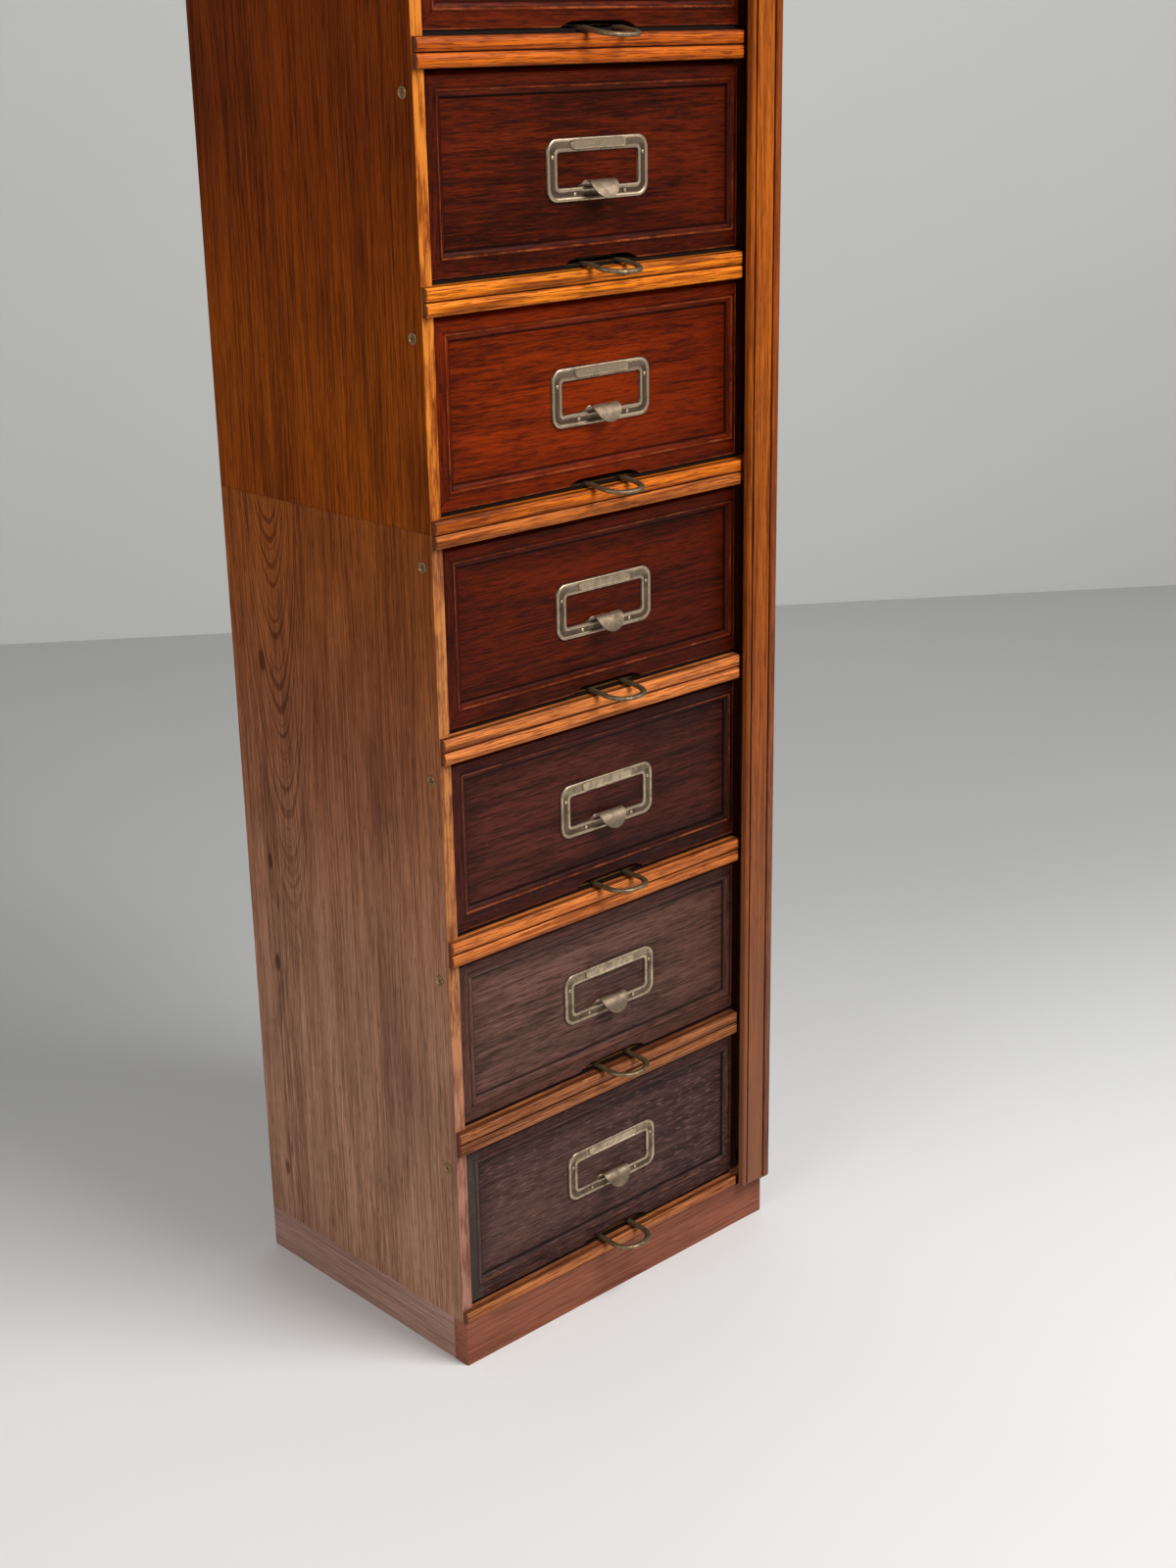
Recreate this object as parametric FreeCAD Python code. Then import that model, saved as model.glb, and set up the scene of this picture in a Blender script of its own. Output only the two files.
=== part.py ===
import FreeCAD, Part
import math
import os

# Filing chest of two stacked sections on a plinth, with eight compartments.
# Each compartment has a framed front that lifts on two pivot screws, and a
# thin file tray that slides out under it on a wire loop. A reeded bar down
# the right-hand side turns on two pins and locks the fronts.
#
# Millimetres. While it is built, X runs from the left side, Y from the faces
# of the rails into the depth, and Z from the floor. The finished pieces are
# then moved so that the origin is under the middle of the whole chest.

V = FreeCAD.Vector

# Case
CASE_WIDTH = 400.0
CASE_DEPTH = 306.0
SIDE_THICKNESS = 11.0
BACK_THICKNESS = 8.0
SECTION_NAMES = ("lower", "upper")
FRONTS_IN_SECTION = 4
OPENING_HEIGHT = 161.0
SHELF_THICKNESS = 10.0
UPRIGHT_THICKNESS = 12.0
UPRIGHT_SETBACK = 14.0

# Reeded rails, two beads high between the fronts, one bead high at a joint
BEAD_HEIGHT = 12.0
BEAD_RISE = 2.2
QUIRK_WIDTH = 1.4
QUIRK_DEPTH = 1.6
RAIL_DEPTH = 20.0
RAIL_PROJECTION = 7.0
RAIL_LEFT_ROUNDING = 1.2
RAIL_RIGHT_ROUNDING = 3.0

# Plinth
PLINTH_HEIGHT = 44.0
PLINTH_SETBACK = 2.5
PLINTH_FRONT_THICKNESS = 18.0
PLINTH_BOARD_THICKNESS = 13.0
PLINTH_ROUNDING = 1.5

# Top board
TOP_THICKNESS = 22.0
TOP_OVERHANG_SIDE = 8.0
TOP_OVERHANG_FRONT = 14.0
TOP_NOSE_RADIUS = 5.0
TOP_COVE_RADIUS = 8.0

# Locking bar, its fixed batten, pins and lock
BAR_WIDTH = 29.5
BAR_THICKNESS = 7.0
BAR_BEAD_RADIUS = 2.75
BAR_QUIRK_WIDTH = 0.9
BAR_FLAT_DROP = 0.4
BAR_BACK_CLEARANCE = 1.5
BAR_EDGE_CLEARANCE = 0.7
BAR_END_CLEARANCE = 0.4
BATTEN_WIDTH = 7.8
BATTEN_ROUNDING = 1.2
BATTEN_FOOT_CLEARANCE = 1.0
BAR_PLATE_THICKNESS = 1.5
BAR_PLATE_DEPTH = 5.6
BAR_PLATE_MARGIN = 3.0
BAR_PIN_RADIUS = 1.5
BAR_PIN_LENGTH = 9.0
BAR_PIN_HOLE_LENGTH = 10.0
LOCK_HEIGHT_ON_BAR = 1255.0
LOCK_CASE_WIDTH = 14.0
LOCK_CASE_HEIGHT = 40.0
LOCK_CASE_DEPTH = 9.0
ESCUTCHEON_WIDTH = 12.0
ESCUTCHEON_HEIGHT = 22.0
ESCUTCHEON_THICKNESS = 1.0
KEYHOLE_RADIUS = 1.8
KEYHOLE_SLOT_WIDTH = 1.6
KEYHOLE_SLOT_LENGTH = 6.0

# Lifting fronts
FRONT_SETBACK = 2.5
FRONT_THICKNESS = 14.0
FRONT_LEFT_CLEARANCE = 0.7
FRONT_RIGHT_CLEARANCE = 1.5
FRONT_TOP_CLEARANCE = 1.2
FRONT_BAR_CLEARANCE = 1.0
FRAME_BAND = 15.0
FRAME_LEFT_BAND = 13.0
FRAME_RIGHT_BAND = 5.0
MOULDING_WIDTH = 5.0
MOULDING_STEP = 0.8
MOULDING_BEND = 0.3
FIELD_RECESS = 4.0
MOULDING_LIP = 0.5
REBATE_WIDTH = 8.0
PANEL_THICKNESS = 8.0
PANEL_CLEARANCE = 0.5
NOTCH_WIDTH = 84.0
NOTCH_HEIGHT = 5.0
NOTCH_TAPER = 14.0
NOTCH_BEND = 0.12

# Pivot screws of the fronts
PIVOT_DROP = 16.5
PIVOT_DEPTH_IN_FRONT = 10.5
PIVOT_RADIUS = 2.0
PIVOT_CLEARANCE = 0.3
PIVOT_REACH = 10.0
PIVOT_BORE_LENGTH = 13.0
PIVOT_HEAD_RADIUS = 5.0
PIVOT_HEAD_HEIGHT = 1.4
PIVOT_DIMPLE_RADIUS = 1.8
PIVOT_DIMPLE_DEPTH = 0.9

# File trays and their guide strips
TRAY_THICKNESS = 3.0
TRAY_CLEARANCE = 0.3
TRAY_FRONT_CLEARANCE = 0.7
TRAY_SIDE_CLEARANCE = 1.5
TRAY_FRONT_INSET = 1.0
TRAY_BACK_CLEARANCE = 8.0
FENCE_THICKNESS = 8.0
FENCE_HEIGHT = 60.0
WING_THICKNESS = 6.0
WING_LENGTH = 58.0
WING_FRONT_HEIGHT = 14.0
WING_BEND = 0.3
GUIDE_WIDTH = 5.0
GUIDE_HEIGHT = 6.0
GUIDE_CLEARANCE = 0.7
FRONT_STOP_CLEARANCE = 0.2

# Wire loops of flattened wire, each bent down a little by use, lowest first
WIRE_HALF_WIDTH = 3.0
WIRE_HALF_HEIGHT = 2.1
WIRE_SIDES = 8
LOOP_SPAN = 40.0
LOOP_REACH = 29.0
LOOP_CORNER_RADIUS = 17.0
LOOP_CORNER_CHORDS = 5
LOOP_LEG = 34.0
LOOP_LIFT = 3.2
LOOP_BEND = 4.0
LOOP_DROOP_ANGLES = (2.0, 2.0, 0.0, 6.0, 8.0, 10.0, 10.0, 8.0)
CLAMP_WIDTH = 58.0
CLAMP_LENGTH = 12.0
CLAMP_THICKNESS = 1.2
CLAMP_FOOT_WIDTH = 3.2
CLAMP_INSET = 16.0

# The bar covers the fronts' right ends, so their fittings stand off the field's middle
FITTING_OFFSET = 6.5

# Label holders
HOLDER_WIDTH = 115.0
HOLDER_HEIGHT = 51.0
HOLDER_THICKNESS = 1.2
HOLDER_ROUNDING = 11.0
HOLDER_DROP = 82.0
WINDOW_WIDTH = 91.0
WINDOW_HEIGHT = 27.5
RIM_WIDTH = 2.4
RIM_HEIGHT = 1.1
CARTOUCHE_WIDTH = 62.0
CARTOUCHE_HEIGHT = 8.4
CARTOUCHE_RISE = 0.8
CARTOUCHE_MARGIN = 0.6
TONGUE_WIDTH = 46.0
TONGUE_CREST_WIDTH = 34.0
TONGUE_TIP_WIDTH = 26.0
TONGUE_REACH = 14.0
TONGUE_RISE = 5.0
TONGUE_THICKNESS = 1.2
TONGUE_BEND = 0.25

# An outline's edge bends by its rise over half its chord
QUARTER_ROUND = math.sqrt(2) - 1
HALF_ROUND = 1.0

# Small curves that repeat on every front are drawn with few flats
ROD_SIDES = 12
CORNER_FLATS = 3
CURVE_FLATS = 5
TIP_FLATS = 8

# Places that follow from the sizes above
RAIL_HEIGHT = 2 * BEAD_HEIGHT
COMPARTMENT_PITCH = OPENING_HEIGHT + RAIL_HEIGHT
SECTION_HEIGHT = FRONTS_IN_SECTION * COMPARTMENT_PITCH
CASE_TOP = PLINTH_HEIGHT + len(SECTION_NAMES) * SECTION_HEIGHT
INNER_LEFT = SIDE_THICKNESS
INNER_RIGHT = CASE_WIDTH - SIDE_THICKNESS
INNER_BACK = CASE_DEPTH - BACK_THICKNESS

BAR_BACK = -BAR_BACK_CLEARANCE
BAR_FRONT = BAR_BACK - BAR_THICKNESS
BAR_EDGE_RADIUS = BAR_THICKNESS / 2
BATTEN_LEFT = CASE_WIDTH - BATTEN_WIDTH
BAR_RIGHT = BATTEN_LEFT - BAR_EDGE_CLEARANCE
BAR_LEFT = BAR_RIGHT - BAR_WIDTH
BAR_AXIS_X = BAR_RIGHT - BAR_EDGE_RADIUS
BAR_AXIS_Y = BAR_BACK - BAR_EDGE_RADIUS
BATTEN_BOTTOM = PLINTH_HEIGHT + BATTEN_FOOT_CLEARANCE + BAR_PLATE_THICKNESS
BATTEN_TOP = CASE_TOP - BAR_PLATE_THICKNESS

FRONT_LEFT = INNER_LEFT + FRONT_LEFT_CLEARANCE
FRONT_RIGHT = BAR_LEFT - FRONT_BAR_CLEARANCE
RAIL_RIGHT = FRONT_RIGHT
UPRIGHT_LEFT = FRONT_RIGHT + FRONT_RIGHT_CLEARANCE
UPRIGHT_RIGHT = UPRIGHT_LEFT + UPRIGHT_THICKNESS
FRONT_FACE = RAIL_PROJECTION + FRONT_SETBACK
FRONT_BACK = FRONT_FACE + FRONT_THICKNESS
FIELD_FACE = FRONT_FACE + FIELD_RECESS
PIVOT_Y = FRONT_FACE + PIVOT_DEPTH_IN_FRONT
TRAY_TOP = TRAY_CLEARANCE + TRAY_THICKNESS
FRONT_BOTTOM = TRAY_TOP + TRAY_FRONT_CLEARANCE
PIVOT_HEIGHT = OPENING_HEIGHT - PIVOT_DROP
SWING_RADIUS = PIVOT_DROP - FRONT_TOP_CLEARANCE
FRAME_SIGHT = FRAME_BAND + MOULDING_WIDTH
FIELD_LEFT = FRONT_LEFT + FRAME_LEFT_BAND + MOULDING_WIDTH
FIELD_RIGHT = FRONT_RIGHT - FRAME_RIGHT_BAND - MOULDING_WIDTH
FIELD_BOTTOM = FRONT_BOTTOM + FRAME_SIGHT
FIELD_TOP = OPENING_HEIGHT - FRONT_TOP_CLEARANCE - FRAME_SIGHT
FITTING_MIDDLE = (FIELD_LEFT + FIELD_RIGHT) / 2 + FITTING_OFFSET
HOLDER_MIDDLE = OPENING_HEIGHT - HOLDER_DROP

TRAY_LEFT = INNER_LEFT + TRAY_SIDE_CLEARANCE
TRAY_RIGHT = UPRIGHT_LEFT - TRAY_SIDE_CLEARANCE
TRAY_FRONT = FRONT_FACE + TRAY_FRONT_INSET
TRAY_BACK = INNER_BACK - TRAY_BACK_CLEARANCE
GUIDE_FRONT = FRONT_BACK + FRONT_STOP_CLEARANCE
GUIDE_BOTTOM = TRAY_TOP + GUIDE_CLEARANCE

LOOP_LENGTH = LOOP_BEND + LOOP_REACH
LOOP_FRONT = LOOP_BEND - LOOP_LENGTH * math.cos(math.radians(min(LOOP_DROOP_ANGLES)))
ORIGIN = V(CASE_WIDTH / 2, (CASE_DEPTH + LOOP_FRONT) / 2, 0)


def along(axis, u, v, w):
    """Point with coordinate w along the named axis and u, v across it."""
    if axis == "x":
        return V(w, u, v)
    if axis == "y":
        return V(u, w, v)
    return V(u, v, w)


def outline_face(axis, level, points):
    """Flat face square to an axis, through (u, v) points in turn.

    A third value bends the edge that ends at its point: the rise over half
    the chord, to the left when positive. A fourth draws it with that many flats.
    """
    edges = []
    for index, point in enumerate(points):
        before = points[index - 1]
        start = along(axis, before[0], before[1], level)
        end = along(axis, point[0], point[1], level)
        if end.isEqual(start, 1e-6):
            continue
        if len(point) == 2:
            edges.append(Part.LineSegment(start, end).toShape())
            continue
        du = (point[0] - before[0]) / 2
        dv = (point[1] - before[1]) / 2
        crown = along(axis, before[0] + du - dv * point[2], before[1] + dv + du * point[2], level)
        curve = Part.Arc(start, crown, end).toShape()
        if len(point) == 3:
            edges.append(curve)
            continue
        stations = [start] + curve.discretize(point[3] + 1)[1:-1] + [end]
        edges += [Part.LineSegment(one, other).toShape() for one, other in zip(stations, stations[1:])]
    return Part.Face(Part.Wire(edges))


def prism(axis, low, high, *points):
    """Solid with one outline, from low to high along an axis."""
    face = outline_face(axis, low, points)
    return face.extrude(along(axis, 0, 0, high - low))


def block(x0, x1, y0, y1, z0, z1):
    return Part.makeBox(x1 - x0, y1 - y0, z1 - z0, V(x0, y0, z0))


def rod(start, direction, length, radius):
    """Small round bar or hole, drawn with few sides because so many repeat."""
    across = V(direction.y, direction.z, direction.x)
    upward = direction.cross(across)
    rim = []
    for corner in range(ROD_SIDES + 1):
        turn = math.radians(360) * corner / ROD_SIDES
        rim.append(start + across * (radius * math.cos(turn)) + upward * (radius * math.sin(turn)))
    return Part.Face(Part.makePolygon(rim)).extrude(direction * length)


def joined(first, *others):
    return first.fuse(list(others)).removeSplitter()


def rounded_plate(width, height, radius, y0, y1, x_middle, z_middle):
    """Upright plate with rounded corners, seen from the front."""
    x0 = x_middle - width / 2
    x1 = x_middle + width / 2
    z0 = z_middle - height / 2
    z1 = z_middle + height / 2
    return prism(
        "y", y0, y1,
        (x0 + radius, z0, -QUARTER_ROUND, CORNER_FLATS), (x1 - radius, z0),
        (x1, z0 + radius, -QUARTER_ROUND, CORNER_FLATS), (x1, z1 - radius),
        (x1 - radius, z1, -QUARTER_ROUND, CORNER_FLATS), (x0 + radius, z1),
        (x0, z1 - radius, -QUARTER_ROUND, CORNER_FLATS), (x0, z0 + radius))


def section_bottom(section):
    return PLINTH_HEIGHT + section * SECTION_HEIGHT


def opening_bottom(section, row):
    """Height of the shelf under a front, rows counted from the bottom."""
    return section_bottom(section) + BEAD_HEIGHT + row * COMPARTMENT_PITCH


# Rails, shelves and boards of a section

def reeded_strip(bottom, beads):
    """Rail with one or two beads on its face, lapped over the left side's edge."""
    quirk = BEAD_RISE + QUIRK_DEPTH
    bend = BEAD_RISE / (BEAD_HEIGHT - QUIRK_WIDTH) * 2
    top = bottom + beads * BEAD_HEIGHT
    points = [(RAIL_DEPTH, bottom)]
    for bead in range(beads):
        low = bottom + bead * BEAD_HEIGHT + QUIRK_WIDTH / 2
        high = low + BEAD_HEIGHT - QUIRK_WIDTH
        points += [(quirk, low - QUIRK_WIDTH / 2), (quirk, low), (BEAD_RISE, low)]
        points += [(BEAD_RISE, high, bend), (quirk, high)]
    points += [(quirk, top), (RAIL_DEPTH, top)]
    profile = prism("x", 0, RAIL_RIGHT, *points)
    plan = prism(
        "z", bottom, top,
        (0, RAIL_PROJECTION), (0, RAIL_LEFT_ROUNDING),
        (RAIL_LEFT_ROUNDING, 0, -QUARTER_ROUND, CORNER_FLATS), (RAIL_RIGHT - RAIL_RIGHT_ROUNDING, 0),
        (RAIL_RIGHT, RAIL_RIGHT_ROUNDING, -QUARTER_ROUND, CORNER_FLATS), (RAIL_RIGHT, RAIL_DEPTH),
        (INNER_LEFT, RAIL_DEPTH), (INNER_LEFT, RAIL_PROJECTION))
    return profile.common(plan)


def shelf(section, row):
    """Shelf between two openings, with the two-bead rail on its front edge."""
    top = opening_bottom(section, row + 1)
    board = block(INNER_LEFT, UPRIGHT_LEFT, RAIL_DEPTH, INNER_BACK, top - SHELF_THICKNESS, top)
    return joined(reeded_strip(top - RAIL_HEIGHT, 2), board)


def shelves(section):
    return Part.makeCompound([shelf(section, row) for row in range(FRONTS_IN_SECTION - 1)])


def end_board(bottom):
    """Top or bottom board of a section, one bead thick."""
    top = bottom + BEAD_HEIGHT
    board = block(INNER_LEFT, INNER_RIGHT, RAIL_DEPTH, INNER_BACK, bottom, top)
    corner = block(UPRIGHT_LEFT, INNER_RIGHT, UPRIGHT_SETBACK, RAIL_DEPTH, bottom, top)
    return joined(reeded_strip(bottom, 1), board, corner)


def end_boards(section):
    low = section_bottom(section)
    return Part.makeCompound([end_board(low), end_board(low + SECTION_HEIGHT - BEAD_HEIGHT)])


def pivot_holes(section, x0, x1):
    holes = []
    for row in range(FRONTS_IN_SECTION):
        height = opening_bottom(section, row) + PIVOT_HEIGHT
        holes.append(rod(V(x0, PIVOT_Y, height), V(1, 0, 0), x1 - x0, PIVOT_RADIUS))
    return holes


def guide_strips(section, x0):
    """Strips over the edges of the trays; their front ends stop the fronts."""
    strips = []
    for row in range(FRONTS_IN_SECTION):
        low = opening_bottom(section, row) + GUIDE_BOTTOM
        strips.append(block(x0, x0 + GUIDE_WIDTH, GUIDE_FRONT, INNER_BACK, low, low + GUIDE_HEIGHT))
    return strips


def left_side(section):
    low = section_bottom(section)
    panel = block(0, SIDE_THICKNESS, RAIL_PROJECTION, CASE_DEPTH, low, low + SECTION_HEIGHT)
    panel = panel.cut(pivot_holes(section, 0, SIDE_THICKNESS))
    return Part.makeCompound([panel] + guide_strips(section, INNER_LEFT))


def right_side(section):
    low = section_bottom(section)
    return block(INNER_RIGHT, CASE_WIDTH, RAIL_PROJECTION, CASE_DEPTH, low, low + SECTION_HEIGHT)


def inner_upright(section):
    """Upright at the right of the openings; the bar's recess is beside it."""
    low = section_bottom(section) + BEAD_HEIGHT
    high = section_bottom(section) + SECTION_HEIGHT - BEAD_HEIGHT
    panel = block(UPRIGHT_LEFT, UPRIGHT_RIGHT, UPRIGHT_SETBACK, INNER_BACK, low, high)
    panel = panel.cut(pivot_holes(section, UPRIGHT_LEFT, UPRIGHT_RIGHT))
    return Part.makeCompound([panel] + guide_strips(section, UPRIGHT_LEFT - GUIDE_WIDTH))


def back_panel(section):
    low = section_bottom(section)
    return block(INNER_LEFT, INNER_RIGHT, INNER_BACK, CASE_DEPTH, low, low + SECTION_HEIGHT)


# Plinth and top

def plinth_front_board():
    back = PLINTH_SETBACK + PLINTH_FRONT_THICKNESS
    r = PLINTH_ROUNDING
    return prism(
        "z", 0, PLINTH_HEIGHT,
        (0, back), (0, PLINTH_SETBACK + r), (r, PLINTH_SETBACK, -QUARTER_ROUND),
        (CASE_WIDTH - r, PLINTH_SETBACK), (CASE_WIDTH, PLINTH_SETBACK + r, -QUARTER_ROUND),
        (CASE_WIDTH, back))


def plinth_frame():
    """Side boards and back board of the plinth."""
    front = PLINTH_SETBACK + PLINTH_FRONT_THICKNESS
    thick = PLINTH_BOARD_THICKNESS
    left = block(0, thick, front, CASE_DEPTH, 0, PLINTH_HEIGHT)
    right = block(CASE_WIDTH - thick, CASE_WIDTH, front, CASE_DEPTH, 0, PLINTH_HEIGHT)
    back = block(thick, CASE_WIDTH - thick, CASE_DEPTH - thick, CASE_DEPTH, 0, PLINTH_HEIGHT)
    return Part.makeCompound([left, right, back])


def top_board():
    """Top with a rounded nose and a cove below it on the front and both sides."""
    low = CASE_TOP
    high = CASE_TOP + TOP_THICKNESS
    nose = TOP_NOSE_RADIUS
    cove = TOP_COVE_RADIUS
    front = -TOP_OVERHANG_FRONT
    left = -TOP_OVERHANG_SIDE
    right = CASE_WIDTH + TOP_OVERHANG_SIDE
    lengthways = prism(
        "x", left, right,
        (CASE_DEPTH, low), (front + cove, low), (front, low + cove, -QUARTER_ROUND),
        (front, high - nose), (front + nose, high, QUARTER_ROUND), (CASE_DEPTH, high))
    crossways = prism(
        "y", front, CASE_DEPTH,
        (left + cove, low), (left, low + cove, -QUARTER_ROUND),
        (left, high - nose), (left + nose, high, QUARTER_ROUND),
        (right - nose, high), (right, high - nose, QUARTER_ROUND),
        (right, low + cove), (right - cove, low, -QUARTER_ROUND))
    return lengthways.common(crossways)


# Locking bar

def bar_batten():
    """Fixed batten on the edge of the right side, beside the bar."""
    r = BATTEN_ROUNDING
    return prism(
        "z", BATTEN_BOTTOM, BATTEN_TOP,
        (BATTEN_LEFT, RAIL_PROJECTION), (BATTEN_LEFT, BAR_FRONT + r),
        (BATTEN_LEFT + r, BAR_FRONT, -QUARTER_ROUND), (CASE_WIDTH - r, BAR_FRONT),
        (CASE_WIDTH, BAR_FRONT + r, -QUARTER_ROUND), (CASE_WIDTH, RAIL_PROJECTION))


def lock_bar():
    """Bar with a bead down its free edge and a half-round pivot edge."""
    bead = BAR_BEAD_RADIUS
    groove_left = BAR_LEFT + 2 * bead
    groove_right = groove_left + BAR_QUIRK_WIDTH
    flat = BAR_FRONT + BAR_FLAT_DROP
    flat_end_angle = math.acos(1 - BAR_FLAT_DROP / BAR_EDGE_RADIUS)
    low = BATTEN_BOTTOM + BAR_END_CLEARANCE
    high = BATTEN_TOP - BAR_END_CLEARANCE
    bar = prism(
        "z", low, high,
        (BAR_LEFT, BAR_BACK), (BAR_LEFT, BAR_FRONT + bead),
        (BAR_LEFT + bead, BAR_FRONT, -QUARTER_ROUND),
        (groove_left, BAR_FRONT + bead, -QUARTER_ROUND),
        (groove_right, BAR_FRONT + bead), (groove_right, flat),
        (BAR_AXIS_X + BAR_EDGE_RADIUS * math.sin(flat_end_angle), flat),
        (BAR_AXIS_X, BAR_BACK, -math.tan((math.pi - flat_end_angle) / 4)))
    radius = BAR_PIN_RADIUS + PIVOT_CLEARANCE
    lower_hole = rod(V(BAR_AXIS_X, BAR_AXIS_Y, low), V(0, 0, 1), BAR_PIN_HOLE_LENGTH, radius)
    upper_hole = rod(V(BAR_AXIS_X, BAR_AXIS_Y, high), V(0, 0, -1), BAR_PIN_HOLE_LENGTH, radius)
    return bar.cut([lower_hole, upper_hole])


def bar_pivots():
    """Two small plates on the ends of the batten, each with a pin in the bar."""
    pieces = []
    for level, up in ((BATTEN_BOTTOM, 1), (BATTEN_TOP, -1)):
        low = min(level, level - up * BAR_PLATE_THICKNESS)
        plate = block(BAR_AXIS_X - BAR_PLATE_MARGIN, CASE_WIDTH - BATTEN_ROUNDING,
                      BAR_AXIS_Y - BAR_PLATE_DEPTH / 2, BAR_AXIS_Y + BAR_PLATE_DEPTH / 2,
                      low, low + BAR_PLATE_THICKNESS)
        pin = rod(V(BAR_AXIS_X, BAR_AXIS_Y, level), V(0, 0, up), BAR_PIN_LENGTH, BAR_PIN_RADIUS)
        pieces.append(joined(plate, pin))
    return Part.makeCompound(pieces)


def bar_lock():
    """Lock case behind the bar and its keyhole plate on the face."""
    middle = (BAR_LEFT + 2 * BAR_BEAD_RADIUS + BAR_AXIS_X) / 2
    height = LOCK_HEIGHT_ON_BAR
    case = block(middle - LOCK_CASE_WIDTH / 2, middle + LOCK_CASE_WIDTH / 2,
                 BAR_BACK, BAR_BACK + LOCK_CASE_DEPTH,
                 height - LOCK_CASE_HEIGHT / 2, height + LOCK_CASE_HEIGHT / 2)
    face = BAR_FRONT + BAR_FLAT_DROP
    front = face - ESCUTCHEON_THICKNESS
    plate = rounded_plate(ESCUTCHEON_WIDTH, ESCUTCHEON_HEIGHT, ESCUTCHEON_WIDTH / 2,
                          front, face, middle, height)
    top = height + KEYHOLE_RADIUS
    hole = rod(V(middle, front, top), V(0, 1, 0), ESCUTCHEON_THICKNESS, KEYHOLE_RADIUS)
    slot = block(middle - KEYHOLE_SLOT_WIDTH / 2, middle + KEYHOLE_SLOT_WIDTH / 2,
                 front, face, top - KEYHOLE_SLOT_LENGTH, top)
    return Part.makeCompound([case, plate.cut([hole, slot])])


# Lifting fronts

def pivot_bores(base):
    """Bores for the ends of the two pivot screws of a front."""
    height = base + PIVOT_HEIGHT
    radius = PIVOT_RADIUS + PIVOT_CLEARANCE
    return [rod(V(FRONT_LEFT, PIVOT_Y, height), V(1, 0, 0), PIVOT_BORE_LENGTH, radius),
            rod(V(FRONT_RIGHT, PIVOT_Y, height), V(-1, 0, 0), PIVOT_BORE_LENGTH, radius)]


def front_blank(base):
    """Whole thickness of a front, its top edge rounded about the pivot."""
    pivot = base + PIVOT_HEIGHT
    front_angle = math.asin((PIVOT_Y - FRONT_FACE) / SWING_RADIUS)
    back_angle = math.asin((FRONT_BACK - PIVOT_Y) / SWING_RADIUS)
    return prism(
        "x", FRONT_LEFT, FRONT_RIGHT,
        (FRONT_FACE, base + FRONT_BOTTOM),
        (FRONT_FACE, pivot + SWING_RADIUS * math.cos(front_angle)),
        (FRONT_BACK, pivot + SWING_RADIUS * math.cos(back_angle),
         math.tan((front_angle + back_angle) / 4), CURVE_FLATS),
        (FRONT_BACK, base + FRONT_BOTTOM))


def front_notch(base):
    """Shallow notch with tapered ends that clears the loop and its clamp."""
    low = base + FRONT_BOTTOM
    top = low + NOTCH_HEIGHT
    x0 = FITTING_MIDDLE - NOTCH_WIDTH / 2
    x1 = FITTING_MIDDLE + NOTCH_WIDTH / 2
    return prism(
        "y", FRONT_FACE, FRONT_BACK,
        (x0, low, -NOTCH_BEND, CORNER_FLATS), (x1, low),
        (x1 - NOTCH_TAPER, top, -NOTCH_BEND, CORNER_FLATS), (x0 + NOTCH_TAPER, top))


def stick_outline(inner, outward):
    """Section of a frame stick as (across, depth) points from its sight edge."""
    step = FRONT_FACE + MOULDING_STEP
    band = inner + outward * MOULDING_WIDTH
    outer = inner + outward * (FRAME_SIGHT + FRAME_BAND)
    rebate = inner + outward * REBATE_WIDTH
    return [
        (inner, FIELD_FACE), (inner, FIELD_FACE - MOULDING_LIP),
        (band, step, -outward * MOULDING_BEND, CURVE_FLATS), (band, FRONT_FACE), (outer, FRONT_FACE),
        (outer, FRONT_BACK), (rebate, FRONT_BACK), (rebate, FIELD_FACE)]


def exchanged(point):
    """The same outline point with its two coordinates exchanged."""
    if len(point) == 2:
        return (point[1], point[0])
    return (point[1], point[0], -point[2], point[3])


def front_frame(base):
    """Four moulded sticks, mitred round the field and notched over the loop."""
    low = base + FIELD_BOTTOM
    high = base + FIELD_TOP
    spread = FRAME_SIGHT + FRAME_BAND
    inner = {"low left": (FIELD_LEFT, low), "low right": (FIELD_RIGHT, low),
             "high left": (FIELD_LEFT, high), "high right": (FIELD_RIGHT, high)}
    outer = {"low left": (FIELD_LEFT - spread, low - spread),
             "low right": (FIELD_RIGHT + spread, low - spread),
             "high left": (FIELD_LEFT - spread, high + spread),
             "high right": (FIELD_RIGHT + spread, high + spread)}
    uprights = [
        prism("z", low - spread, high + spread, *stick_outline(FIELD_LEFT, -1)),
        prism("z", low - spread, high + spread, *stick_outline(FIELD_RIGHT, 1))]
    crosses = [
        prism("x", FIELD_LEFT - spread, FIELD_RIGHT + spread,
              *[exchanged(point) for point in stick_outline(low, -1)]),
        prism("x", FIELD_LEFT - spread, FIELD_RIGHT + spread,
              *[exchanged(point) for point in stick_outline(high, 1)])]
    ends = [("low left", "high left"), ("low right", "high right"),
            ("low left", "low right"), ("high left", "high right")]
    blank = front_blank(base).cut([front_notch(base)] + pivot_bores(base))
    sticks = []
    for stick, (one, other) in zip(uprights + crosses, ends):
        mitre = prism("y", FRONT_FACE, FRONT_BACK,
                      inner[one], inner[other], outer[other], outer[one])
        sticks.append(stick.common(mitre).common(blank))
    return Part.makeCompound(sticks)


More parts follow.
